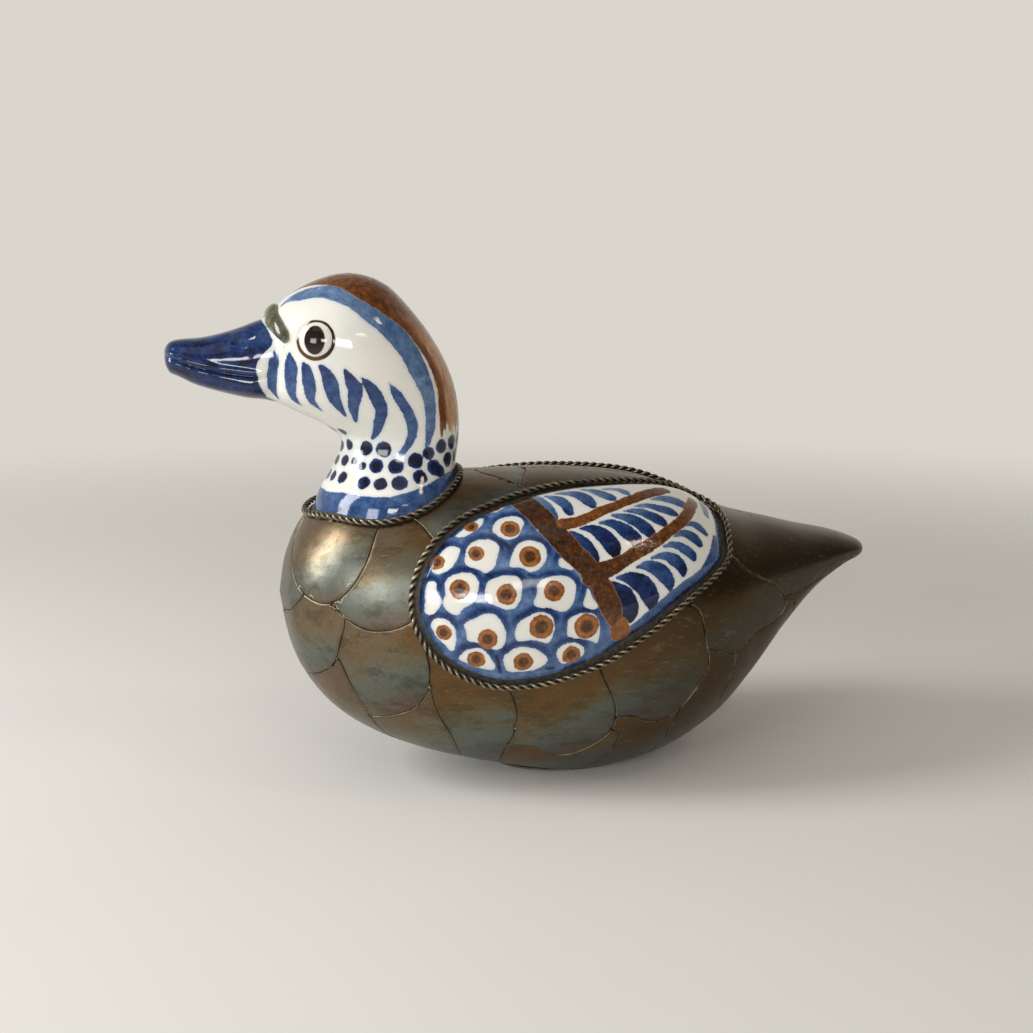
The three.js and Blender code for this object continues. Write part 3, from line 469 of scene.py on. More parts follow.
def smooth_path(points, fine, closed=False):
    """A smooth path through points, with a number of steps between each two."""
    points = np.array(points, float)
    if closed:
        padded = np.vstack([points[-1], points, points[0], points[1]])
    else:
        padded = np.vstack([2 * points[0] - points[1], points, 2 * points[-1] - points[-2]])
    part = np.linspace(0, 1, fine, endpoint=False)[:, None]
    pieces = []
    for a, b, c, d in zip(padded, padded[1:], padded[2:], padded[3:]):
        spans = [max(np.linalg.norm(q - p), 1e-6) ** 0.5 for p, q in ((a, b), (b, c), (c, d))]
        knots = np.cumsum([0] + spans)
        t = knots[1] + part * (knots[2] - knots[1])

        def blend(p, q, first, last):
            return ((last - t) * p + (t - first) * q) / (last - first)

        low = blend(blend(a, b, knots[0], knots[1]), blend(b, c, knots[1], knots[2]), knots[0], knots[2])
        high = blend(blend(b, c, knots[1], knots[2]), blend(c, d, knots[2], knots[3]), knots[1], knots[3])
        pieces.append(blend(low, high, knots[1], knots[2]))
    path = np.vstack(pieces)
    return path if closed else np.vstack([path, points[-1]])


def even_steps(path, step, closed=False):
    """The same path with points at even distances."""
    path = np.vstack([path, path[:1]]) if closed else path
    length = np.concatenate([[0], np.cumsum(np.linalg.norm(np.diff(path, axis=0), axis=1))])
    count = max(int(round(length[-1] / step)), 2)
    places = np.linspace(0, length[-1], count + 1)
    even = np.stack([np.interp(places, length, path[:, k]) for k in range(path.shape[1])], -1)
    return even[:-1] if closed else even


# The left half of the body's surface laid out flat: along its side, and down from its waist
FLAT_PERCENTS = np.linspace(0, 100, 401)
FLAT_GIRTHS = np.linspace(0, 180, 91)
WAIST_COLUMN = 45
SIDE_GRID = body_point(FLAT_PERCENTS[:, None], FLAT_GIRTHS[None, :])
WAIST_STEPS = np.linalg.norm(np.diff(SIDE_GRID[:, WAIST_COLUMN], axis=0), axis=1)
FLAT_LENGTHS = np.concatenate([[0], np.cumsum(WAIST_STEPS)])
FLAT_GIRTH_SPANS = np.linalg.norm(np.diff(SIDE_GRID, axis=1), axis=2).sum(1)


def flat(percent, girth):
    """Places on the left half of the body, laid out flat."""
    along = np.interp(percent, FLAT_PERCENTS, FLAT_LENGTHS)
    span = np.interp(percent, FLAT_PERCENTS, FLAT_GIRTH_SPANS)
    return np.stack([along, (np.asarray(girth) / 180 - 0.5) * span], -1)


def unflat(places):
    """Percent and degrees of places that are laid out flat."""
    percent = np.interp(places[..., 0], FLAT_LENGTHS, FLAT_PERCENTS)
    span = np.maximum(np.interp(percent, FLAT_PERCENTS, FLAT_GIRTH_SPANS), 1e-6)
    return percent, np.clip((places[..., 1] / span + 0.5) * 180, 0, 180)


def flat_outline(outline, step, smooth=True):
    places = flat(*np.array(outline, float).T)
    if smooth:
        places = smooth_path(places, 12, closed=True)
    return even_steps(places, step, closed=True)


WING_RIM = smooth_path(WING_OUTLINE, 16, closed=True)
WING_MIDDLE = WING_RIM.mean(0)
GIRTH_PER_PERCENT = 2.2


def wing_rim_share():
    reach = np.linalg.norm(body_point(*WING_RIM.T) - body_point(*WING_MIDDLE), axis=1)
    return 1 - (ROPE_RADIUS + CLEARANCE + WING_CREVICE) / reach


DOME_RIM = WING_MIDDLE + (WING_RIM - WING_MIDDLE) * wing_rim_share()[:, None]
DOME_SPOKES = (DOME_RIM - WING_MIDDLE) / (1, GIRTH_PER_PERCENT)
DOME_SPOKES = DOME_SPOKES[np.argsort(np.arctan2(DOME_SPOKES[:, 1], DOME_SPOKES[:, 0]))]
SPOKE_ANGLES, SPOKE_LENGTHS = np.arctan2(DOME_SPOKES[:, 1], DOME_SPOKES[:, 0]), np.hypot(*DOME_SPOKES.T)


def wing_share(percent, girth):
    """How far a place lies from the middle of the wing, 1 at the rim of its dome."""
    u, v = np.asarray(percent) - WING_MIDDLE[0], (np.asarray(girth) - WING_MIDDLE[1]) / GIRTH_PER_PERCENT
    return np.hypot(u, v) / np.interp(np.arctan2(v, u), SPOKE_ANGLES, SPOKE_LENGTHS, period=2 * math.pi)


def wing_point(percent, girth):
    rise = WING_RISE * np.sqrt(np.clip(1 - wing_share(percent, girth) ** 4, 0, 1))
    return over_body(percent, girth, rise)


def body_place(x, side):
    """Percent and degrees of a place on the upper half of the body, from its X and its half width."""
    percent = 100 * (x - BREAST_X) / BODY_LENGTH
    width = body_station(np.interp(percent / 100, BODY_SHARES, BODY_ROWS))[3] * BODY_WIDTH / 2
    return percent, math.degrees(math.asin(min(side / width, 1) ** (1 / BODY_FULLNESS)))


def neck_places():
    """Where the neck's trim lies on the body, from the back of the neck round its left side to its front."""
    places = []
    for turn in np.radians(np.linspace(0, 180, 49)):
        z = NECK_FOOT_Z
        # The neck's width and the body's height depend on each other, so they are found in rounds
        for _ in range(5):
            row = np.interp((z - NECK_FOOT_Z) / HEAD_HEIGHT, HEAD_SHARES, HEAD_ROWS)
            _, front, back, half = head_ring(row)
            reach = (back - front) / 2 * HEAD_LENGTH + ROPE_RADIUS + CLEARANCE
            side = (half * HEAD_WIDTH / 2 + ROPE_RADIUS + CLEARANCE) * (1 + EGG_SHAPE * math.cos(turn))
            x = NECK_X + (front + back) / 2 * HEAD_LENGTH + reach * math.cos(turn)
            percent, girth = body_place(x, side * math.sin(turn))
            z = float(body_point(percent, girth)[2])
        places.append((percent, girth))
    return places


def foot_places():
    """The edge of the base sheet, as places on the underside of the body."""
    places = []
    for turn in np.radians(np.linspace(0, 180, 37)):
        x = FOOT_X + (FOOT_LENGTH / 2 + CLEARANCE) * math.cos(turn)
        percent, girth = body_place(x, (FOOT_WIDTH / 2 + CLEARANCE) * math.sin(turn))
        places.append((percent, 180 - girth))
    return places


# Distances for the painting, in millimetres

FAR = 50.0


def stroke_distance(points, path):
    """Distance to a tapering stroke, below zero inside it, and how far along it the nearest part lies."""
    path = np.array(path, float)
    middle = path[:, :3].mean(0)
    reach = np.linalg.norm(path[:, :3] - middle, axis=1).max() + path[:, 3].max() + 4
    distance, along = np.full(len(points), FAR), np.zeros(len(points))
    near = np.flatnonzero(np.linalg.norm(points - middle, axis=1) < reach)
    close = points[near]
    best, where = np.full(len(near), FAR), np.zeros(len(near))
    for i, (a, b) in enumerate(zip(path, path[1:])):
        way = b[:3] - a[:3]
        part = np.clip((close - a[:3]) @ way / max(way @ way, 1e-9), 0, 1)
        gap = np.linalg.norm(close - a[:3] - part[:, None] * way, axis=1) - (a[3] + part * (b[3] - a[3])) / 2
        nearer = gap < best
        best[nearer], where[nearer] = gap[nearer], (i + part[nearer]) / (len(path) - 1)
    distance[near], along[near] = best, where
    return distance, along


def side_distance(points, path, centre):
    """Distance to a line over a rounded form, below zero on the line's left as it runs."""
    best, inside = np.full(len(points), 1e9), np.zeros(len(points), bool)
    for a, b in zip(path, path[1:]):
        way = b - a
        part = np.clip((points - a) @ way / max(way @ way, 1e-9), 0, 1)
        off = points - a - part[:, None] * way
        gap = np.linalg.norm(off, axis=1)
        nearer = gap < best
        best[nearer], inside[nearer] = gap[nearer], (off @ np.cross(way, a - centre) < 0)[nearer]
    return np.where(inside, -best, best)


def outline_distance(places, outline):
    """Distance to a closed flat outline, below zero inside it."""
    best, inside = np.full(len(places), 1e9), np.zeros(len(places), bool)
    for a, b in zip(outline, np.roll(outline, -1, axis=0)):
        way = b - a
        part = np.clip((places - a) @ way / max(way @ way, 1e-12), 0, 1)
        best = np.minimum(best, np.linalg.norm(places - a - part[:, None] * way, axis=1))
        crosses = (a[1] > places[:, 1]) != (b[1] > places[:, 1])
        if abs(b[1] - a[1]) > 1e-12:
            at = a[0] + (places[:, 1] - a[1]) / (b[1] - a[1]) * (b[0] - a[0])
            inside ^= crosses & (places[:, 0] < at)
    return np.where(inside, -best, best)


class Paint:
    """Layers of paint on a surface: for each, the distance to its edge and its depth of colour."""

    def __init__(self, points):
        self.points = np.abs(points) * (0, -1, 0) + points * (1, 0, 1)
        count = len(points)
        self.layers = {name: np.full(count, FAR) for name in ("blue", "brown", "olive")}
        self.depths = {name: np.zeros(count) for name in ("blue", "brown")}

    def lay(self, layer, distance, depth):
        """Puts paint down where it reaches farther than what is there already."""
        nearer = distance < self.layers[layer]
        self.layers[layer] = np.where(nearer, distance, self.layers[layer])
        if layer in self.depths:
            self.depths[layer] = np.where(nearer, depth, self.depths[layer])

    def stroke(self, layer, surface, start, end, places, spread=1.0):
        """A tapering stroke through places on a surface, with its depth of colour at both ends."""
        places = np.array(places, float)
        path = np.hstack([surface(places[:, 0], places[:, 1]), places[:, 2:3] * spread])
        path = smooth_path(path, 4) if len(path) > 2 else path
        distance, along = stroke_distance(self.points, path)
        self.lay(layer, distance, start + (end - start) * along)

    def dot(self, layer, surface, percent, girth, width):
        """A round touch of the brush: a dark middle, a lighter ring and a darker edge."""
        reach = np.linalg.norm(self.points - surface(percent, girth), axis=1) / (width / 2)
        core, edge = np.clip((0.62 - reach) / 0.15, 0, 1), np.clip((reach - 0.82) / 0.1, 0, 1)
        self.lay(layer, (reach - 1) * width / 2, 0.3 + 0.45 * core + 0.2 * edge)

    def store(self, mesh):
        for name, values in self.layers.items():
            add_values(mesh, name, values)
        for name, values in self.depths.items():
            add_values(mesh, name + "_depth", values)


# Meshes

def add_values(mesh, name, values):
    values = np.asarray(values, np.float32)
    kind = "FLOAT_VECTOR" if values.ndim == 2 else "FLOAT"
    mesh.attributes.new(name, kind, "POINT").data.foreach_set("vector" if values.ndim == 2 else "value",
                                                              values.ravel())


def points_of(mesh):
    """A mesh's points in millimetres."""
    points = np.empty(len(mesh.vertices) * 3, np.float32)
    mesh.vertices.foreach_get("co", points)
    return points.reshape(-1, 3).astype(float) / MM


def set_points(mesh, points):
    mesh.vertices.foreach_set("co", (points * MM).astype(np.float32).ravel())
    mesh.update()


def mesh_of(bm, name):
    """The mesh that a bmesh has grown into, which frees the bmesh."""
    mesh = bpy.data.meshes.new(name)
    bm.to_mesh(mesh)
    bm.free()
    return mesh


def linked(name, data):
    """An object in the scene that shows a mesh, a curve, a lamp or a camera."""
    thing = bpy.data.objects.new(name, data)
    bpy.context.scene.collection.objects.link(thing)
    return thing


def worked_out(draft):
    """The mesh of a draft object with its modifiers or its curve worked out, which removes the draft."""
    graph = bpy.context.evaluated_depsgraph_get()
    mesh = bpy.data.meshes.new_from_object(draft.evaluated_get(graph))
    bpy.data.batch_remove([draft, draft.data])
    return mesh


def staggered(low, high, step):
    """Flat places in rows, each row shifted by half a step against the one before."""
    rows, columns = np.arange(low[1], high[1], step * 0.866), np.arange(low[0], high[0], step)
    return np.array([(x + (k % 2) * step / 2, y) for k, y in enumerate(rows) for x in columns])


def place_vertices(verts, surface):
    """Moves vertices of a unit sphere onto a surface, by their share of its axis and the angle round it."""
    points = np.array([v.co for v in verts])
    shares = np.arccos(np.clip(-points[:, 2], -1, 1)) / math.pi
    turns = np.degrees(np.arctan2(points[:, 1], points[:, 0]))
    for vert, point in zip(verts, surface(shares, turns)):
        vert.co = point * MM


def finished(name, mesh, material, replaced):
    """Shows a mesh as a piece of the bird, in place of CAD nodes."""
    piece = linked(name, mesh)
    mesh.materials.clear()
    mesh.materials.append(material)
    mesh.shade_smooth()
    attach(piece, "root")
    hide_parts(*replaced)
    return piece


def mirrored_mesh(mesh, name):
    """A copy of a left-hand mesh for the right side."""
    bm = bmesh.new()
    bm.from_mesh(mesh)
    bmesh.ops.transform(bm, matrix=Matrix.Diagonal((1, -1, 1, 1)), verts=bm.verts)
    bmesh.ops.reverse_faces(bm, faces=bm.faces)
    return mesh_of(bm, name)


# Materials

class Value:
    """The output of a node, on which arithmetic adds Math nodes."""

    def __init__(self, finish, socket):
        self.finish, self.socket = finish, socket

    def math(self, operation, *others):
        return self.finish.add("Math", *(self, *others), operation=operation)

    def __add__(self, other):
        return self.math("ADD", other)

    def __radd__(self, other):
        return self.math("ADD", other)

    def __mul__(self, other):
        return self.math("MULTIPLY", other)

    def __rmul__(self, other):
        return self.math("MULTIPLY", other)

    def __sub__(self, other):
        return self.math("SUBTRACT", other)

    def __rsub__(self, other):
        return self.finish.add("Math", other, self, operation="SUBTRACT")

    def __truediv__(self, other):
        return self.math("DIVIDE", other)

    def __pow__(self, other):
        return self.math("POWER", other)

    def __abs__(self):
        return self.math("ABSOLUTE")

    def most(self, other):
        return self.math("MAXIMUM", other)


class Finish:
    """A material or a world made of nodes."""

    def __init__(self, name, world=False):
        self.owner = (bpy.data.worlds if world else bpy.data.materials).new(name)
        self.owner.use_nodes = True
        self.tree = self.owner.node_tree
        self.tree.nodes.clear()

    def add(self, kind, *values, output=0, inputs=None, stops=None, **settings):
        """Adds a node: its settings first, then the values or links of its sockets."""
        node = self.tree.nodes.new("ShaderNode" + kind)
        for key, value in settings.items():
            setattr(node, key, value)
        if stops:
            ramp = node.color_ramp
            for place, _ in stops[2:]:
                ramp.elements.new(place)
            for element, (place, colour) in zip(ramp.elements, stops):
                element.position = place
                element.color = colour
        for key, value in [*enumerate(values), *(inputs or {}).items()]:
            if isinstance(value, Value):
                self.tree.links.new(value.socket, node.inputs[key])
            else:
                node.inputs[key].default_value = value
        return Value(self, node.outputs[output]) if len(node.outputs) else node

    def values(self, name):
        return self.add("Attribute", attribute_name=name, output="Fac")

    def place(self, scale=(1, 1, 1)):
        here = self.add("TexCoord", output="Object")
        return self.add("Mapping", inputs={"Vector": here, "Scale": scale})

    def noise(self, scale, detail=3.0, roughness=0.55, stretch=(1, 1, 1), distortion=0.0):
        return self.add("TexNoise", output="Fac", inputs={
            "Vector": self.place(stretch), "Scale": scale, "Detail": detail, "Roughness": roughness,
            "Distortion": distortion})

    def cells(self, scale, feature="F1"):
        return self.add("TexVoronoi", output="Distance", feature=feature,
                        inputs={"Vector": self.place(), "Scale": scale})

    def rise(self, value, low, high):
        """From 0 to 1 as a value goes from low to high, with soft ends."""
        return self.add("MapRange", interpolation_type="SMOOTHSTEP", inputs={
            "Value": value, "From Min": low, "From Max": high})

    def mix(self, share, first, second):
        return self.add("Mix", data_type="RGBA", output=2, inputs={0: share, 6: first, 7: second})

    def ramp(self, value, stops):
        return self.add("ValToRGB", inputs={"Fac": value}, stops=stops)

    def bump(self, height, distance, strength=1.0):
        return self.add("Bump", inputs={"Height": height, "Distance": distance, "Strength": strength})

    def surface(self, **sockets):
        names = {key.replace("_", " ").title().replace("Ior", "IOR"): value for key, value in sockets.items()}
        return self.shown(self.add("BsdfPrincipled", inputs=names))

    def shown(self, shader, output="OutputMaterial"):
        self.add(output, inputs={"Surface": shader})
        return self.owner


def shade(colour, light=1.0):
    return tuple(min(c * light, 1) for c in colour[:3]) + (1,)


def seen_directly(f):
    """1 for rays from the camera, from mirrors and through glass, 0 for those that light the bird."""
    return f.add("LightPath", output="Is Camera Ray").most(
        f.add("LightPath", output="Is Glossy Ray")).most(f.add("LightPath", output="Is Transmission Ray"))


def painted_eye(f, colour, wobble):
    """A black pupil in a thin dark ring that is open at its upper front."""
    here = f.add("Attribute", attribute_name="eye", output="Vector")
    across, up = (f.add("SeparateXYZ", here, output=k) for k in range(2))
    pupil = (across * across / PUPIL_HALF_WIDTH ** 2 + up * up / PUPIL_HALF_HEIGHT ** 2) ** 0.5
    pupil = pupil + wobble * 0.04
    black = f.mix(f.rise(f.noise(800, 3, 0.7), 0.45, 0.7), (0.005, 0.003, 0.003, 1), (0.022, 0.009, 0.006, 1))
    ring = abs((across * across + (up - 0.2) * (up - 0.2)) ** 0.5 + wobble * 0.12 - EYE_RING_RADIUS)
    half = 0.62 + up * -0.022 + (f.noise(500, 2) - 0.5) * 0.3
    kept = f.rise(across * -0.82 + up * 0.57, 6.7, 5.9)
    line = f.mix(f.rise(across * -1 - up, 1.0, 6.0), (0.016, 0.008, 0.006, 1), (0.075, 0.03, 0.014, 1))
    colour = f.mix(f.rise(ring - half, 0.75, 0.05) * 0.25, colour, (0.42, 0.27, 0.16, 1))
    colour = f.mix(f.rise(ring - half, 0.12, -0.12) * kept, colour, line)
    colour = f.mix(f.rise(pupil, 1.16, 1.04) * 0.3, colour, (0.32, 0.2, 0.13, 1))
    return f.mix(f.rise(pupil, 1.04, 0.96), colour, black)


def pitted_ground(f, cloud):
    """White glaze with a few brown pits."""
    glaze = bpy.context.scene.duck_colours.glaze
    ground = f.mix(f.rise(f.noise(45, 4), 0.35, 0.7), shade(glaze, 1.02), (0.7, 0.695, 0.65, 1))
    pits = f.rise(f.cells(320), 0.06, 0.02)
    return f.mix(pits * f.rise(cloud, 0.5, 0.7) * 0.5, ground, (0.36, 0.3, 0.22, 1))


def cobalt_paint(f, ground, wobble, cloud, speckle):
    """Blue strokes from a pale wash to nearly black, which bleed a little into the glaze."""
    gap = f.values("blue") + wobble
    wash = f.noise(300, 3, 0.65)
    depth = f.values("blue_depth") + (cloud - 0.5) * 0.6 + (wash - 0.5) * 0.62 + (speckle - 0.5) * 0.42
    blue = f.ramp(depth, [
        (0.0, (0.31, 0.4, 0.52, 1)), (0.22, (0.14, 0.22, 0.36, 1)), (0.45, (0.055, 0.115, 0.25, 1)),
        (0.68, shade(bpy.context.scene.duck_colours.cobalt)), (0.86, (0.007, 0.019, 0.085, 1)),
        (1.0, (0.004, 0.006, 0.022, 1))])
    ground = f.mix(f.rise(gap, 1.5, 0.0) * 0.4, ground, (0.42, 0.5, 0.62, 1))
    return f.mix(f.rise(gap, 0.22, -0.16), ground, blue)


def iron_paint(f, colour, gap, speckle, stretch):
    """Brown strokes, paler along their edges and with a thin orange halo."""
    brush = f.noise(420, 3, 0.6, stretch=stretch)
    depth = f.values("brown_depth") + (brush - 0.5) * 0.9 + (speckle - 0.5) * 0.35
    brown = f.ramp(depth - f.rise(gap, -0.5, -0.05) * 0.12, [
        (0.0, (0.52, 0.31, 0.13, 1)), (0.2, (0.34, 0.13, 0.032, 1)),
        (0.45, shade(bpy.context.scene.duck_colours.iron)), (0.7, (0.085, 0.028, 0.007, 1)),
        (1.0, (0.018, 0.008, 0.005, 1))])
    colour = f.mix(f.rise(gap, 0.45, 0.05) * 0.4, colour, (0.5, 0.29, 0.13, 1))
    return f.mix(f.rise(gap, 0.12, -0.12), colour, brown)


def olive_band(f, colour, wobble):
    """Thick olive glaze, paler where it thins out at its edge."""
    olive = bpy.context.scene.duck_colours.olive
    gap = f.values("olive")
    thick = f.mix(f.rise(f.noise(300, 4), 0.35, 0.65), shade(olive, 0.6), shade(olive, 1.4))
    thick = f.mix(f.rise(gap, -0.9, -0.1) * 0.4, thick, (0.3, 0.33, 0.27, 1))
    return f.mix(f.rise(gap + wobble * 0.25, 0.25, -0.1), colour, thick)


def painted_glaze(name, head=False):
    """White glaze over earthenware, with cobalt and iron brush strokes under the gloss."""
    f = Finish(name)
    wobble = (f.noise(260, 2) - 0.5) * 1.1 + (f.noise(900, 2) - 0.5) * 0.7
    speckle = f.noise(1700, 2, 0.7)
    cloud = f.noise(140, 3, stretch=(1, 1, 1.4))
    brown_gap = f.values("brown") + wobble * 1.1
    colour = cobalt_paint(f, pitted_ground(f, cloud), wobble, cloud, speckle)
    colour = iron_paint(f, colour, brown_gap, speckle, (1, 1, 0.22) if head else (1, 1, 1))
    colour = olive_band(f, colour, wobble)
    if head:
        colour = painted_eye(f, colour, wobble)
    inside_brown = f.rise(brown_gap, 0.1, -0.5)
    height = f.noise(60, 2) * 0.5 + f.noise(330, 3) * 0.1 + f.rise(brown_gap, 0.3, -0.4) * 0.07
    height = height + inside_brown * f.noise(1100, 2) * 0.12
    dull = inside_brown * f.rise(f.noise(700, 2), 0.45, 0.65)
    roughness = 0.07 + f.rise(f.noise(90, 3), 0.4, 0.75) * 0.05 + dull * 0.3
    return f.surface(base_color=colour, roughness=roughness, normal=f.bump(height, 0.0006, 0.5), ior=1.5)


def feather_metal(name):
    """Sheet brass under an olive-brown tarnish that turns bluish grey and purple lower down, partly painted
    reflection, with a painted highlight at the front and painted shade towards the rear.
    """
    colours = bpy.context.scene.duck_colours
    f = Finish(name)
    patina_and_reflection, rear_shade, edge = (f.values(key) for key in ("patina_and_reflection", "rear_shade", "edge"))
    cloud = f.noise(22, 4, 0.6, distortion=0.5)
    streak = f.noise(75, 5, 0.65, stretch=(0.3, 1, 1.3))
    level = patina_and_reflection + (cloud - 0.5) * 0.6 + (streak - 0.5) * 0.5 - rear_shade * 0.1
    # From warm at the top of a feather to cool and purple at its foot: partly tarnish, partly painted
    # reflection
    sheen = f.ramp(level, [
        (0.0, shade(colours.warm_metal, 0.85)), (0.32, shade(colours.warm_metal)),
        (0.46, shade(colours.olive_metal)), (0.62, shade(colours.cool_metal)),
        (0.78, shade(colours.cool_metal, 0.8)), (0.95, shade(colours.purple_metal))])
    # Painted highlight: the front feathers are painted paler and more silvery, where the window's light falls
    sheen = f.mix(f.rise(rear_shade, 0.08, 0.0) * 0.3, sheen, (0.25, 0.24, 0.195, 1))
    rose = f.rise(f.noise(34, 3, 0.6, stretch=(0.5, 1, 1.6)), 0.55, 0.74)
    sheen = f.mix(rose * 0.3, sheen, shade(colours.purple_metal, 1.25))
    # Painted shade: towards the rear the metal is painted darker, away from the window's light
    dark = f.mix(f.rise(level, 0.55, 0.85), (0.055, 0.036, 0.019, 1), (0.07, 0.06, 0.048, 1))
    sheen = f.mix(f.rise(rear_shade, 0.15, 0.9) * 0.78, sheen, dark)
    grime = f.rise(f.noise(420, 4, 0.7), 0.56, 0.72) * f.rise(f.noise(60, 3), 0.42, 0.66)
    sheen = f.mix(grime * 0.5, sheen, (0.04, 0.03, 0.018, 1))
    mottle = f.noise(110, 5, 0.75, stretch=(0.5, 1, 1.2))
    sheen = f.mix(f.rise(mottle, 0.48, 0.64) * 0.5, sheen, (0.07, 0.052, 0.028, 1))
    sheen = f.mix(f.rise(mottle, 0.42, 0.28) * 0.3, sheen, (0.27, 0.25, 0.18, 1))
    near_seam = f.rise(edge + (f.noise(300, 3) - 0.5) * 2.2, 2.0, 0.1)
    sheen = f.mix(near_seam * 0.25, sheen, (0.06, 0.042, 0.022, 1))
    # Painted highlight: a thin bright line along the edge of each feather
    rim = f.rise(edge, 0.42, 0.2) * f.rise(f.noise(110, 3), 0.36, 0.6)
    sheen = f.mix(rim * 0.7, sheen, (0.36, 0.29, 0.17, 1))
    scratch = f.rise(f.noise(900, 2, 0.5, stretch=(0.06, 1, 1)), 0.62, 0.72)
    fine = f.noise(1500, 2, 0.6, stretch=(0.12, 1, 1))
    grain = f.noise(2300, 2, 0.7)
    sheen = f.mix(f.rise(grain, 0.4, 0.66) * 0.35, sheen, (0.05, 0.04, 0.026, 1))
    sheen = f.mix(scratch * 0.25, sheen, (0.3, 0.26, 0.19, 1))
    roughness = 0.34 + (streak - 0.5) * 0.14 + grime * 0.25 + scratch * 0.1 + (fine - 0.5) * 0.1
    height = f.noise(40, 3) * 0.8 + f.cells(95, feature="SMOOTH_F1") * 0.1 + fine * 0.02 - scratch * 0.02 \
        - grime * 0.03 + grain * 0.012
    return f.surface(base_color=sheen, roughness=roughness, metallic=0.95 - grime * 0.4,
                     normal=f.bump(height, 0.0011, 0.5))


def twisted_wire_metal(name):
    """Dark brass wire, rubbed bright on the crests of the twist, which also carry a painted highlight, with
    painted shade in the hollows between the strands.
    """
    f = Finish(name)
    crest = f.values("crest")
    cloud = f.noise(220, 3)
    # Partly wear and partly painted light: bright on the crests, dark in the hollows between the strands
    worn_and_lit = f.rise(crest + (cloud - 0.5) * 0.6, 0.68, 1.05)
    colour = f.mix(worn_and_lit, (0.04, 0.03, 0.018, 1), (0.34, 0.29, 0.2, 1))
    colour = f.mix(f.rise(f.noise(60, 3), 0.5, 0.7) * 0.4, colour, (0.12, 0.12, 0.095, 1))
    roughness = 0.42 - worn_and_lit * 0.14 + (f.noise(900, 2) - 0.5) * 0.2
    return f.surface(base_color=colour, roughness=roughness, metallic=0.6 + worn_and_lit * 0.35,
                     normal=f.bump(f.noise(1800, 2), 0.0001, 0.4))


def dark_solder(name):
    """What shows in the seams: dull lead-dark solder over the casting."""
    f = Finish(name)
    cloud = f.noise(500, 4, 0.7)
    colour = f.mix(f.rise(cloud, 0.35, 0.7), (0.02, 0.016, 0.011, 1), (0.1, 0.08, 0.052, 1))
    return f.surface(base_color=colour, roughness=0.5 + (f.noise(900, 2) - 0.5) * 0.2,
                     metallic=f.rise(cloud, 0.5, 0.7) * 0.7, normal=f.bump(cloud, 0.0004, 0.6))


def base_metal(name):
    """The flat sheet below, scuffed by the surfaces it has stood on."""
    f = Finish(name)
    scuff = f.rise(f.noise(90, 5, 0.7, stretch=(0.25, 1, 1)), 0.45, 0.68)
    colour = f.mix(f.noise(30, 4), (0.14, 0.105, 0.06, 1), (0.2, 0.185, 0.13, 1))
    colour = f.mix(scuff * 0.6, colour, (0.36, 0.3, 0.2, 1))
    roughness = 0.55 - scuff * 0.15 + (f.noise(700, 2) - 0.5) * 0.15
    return f.surface(base_color=colour, roughness=roughness, metallic=0.85,
                     normal=f.bump(f.noise(500, 3), 0.0003, 0.4))


# Operators

class DUCK_OT_cast_body(bpy.types.Operator):
    """Make the cast body under the metal feathers"""

    bl_idname = "duck.cast_body"
    bl_label = "Cast Body"

    def execute(self, context):
        bm = bmesh.new()
        made = bmesh.ops.create_uvsphere(bm, u_segments=120, v_segments=150, radius=1)
        place_vertices(made["verts"], lambda share, turn: over_body(
            50 - 50 * np.cos(share * math.pi), turn, np.full(len(share), SOLDER_RISE)))
        bmesh.ops.recalc_face_normals(bm, faces=bm.faces)
        finished("cast_body", mesh_of(bm, "cast_body"), dark_solder("dark_solder"),
                 ["ceramic_bird"])
        return {"FINISHED"}


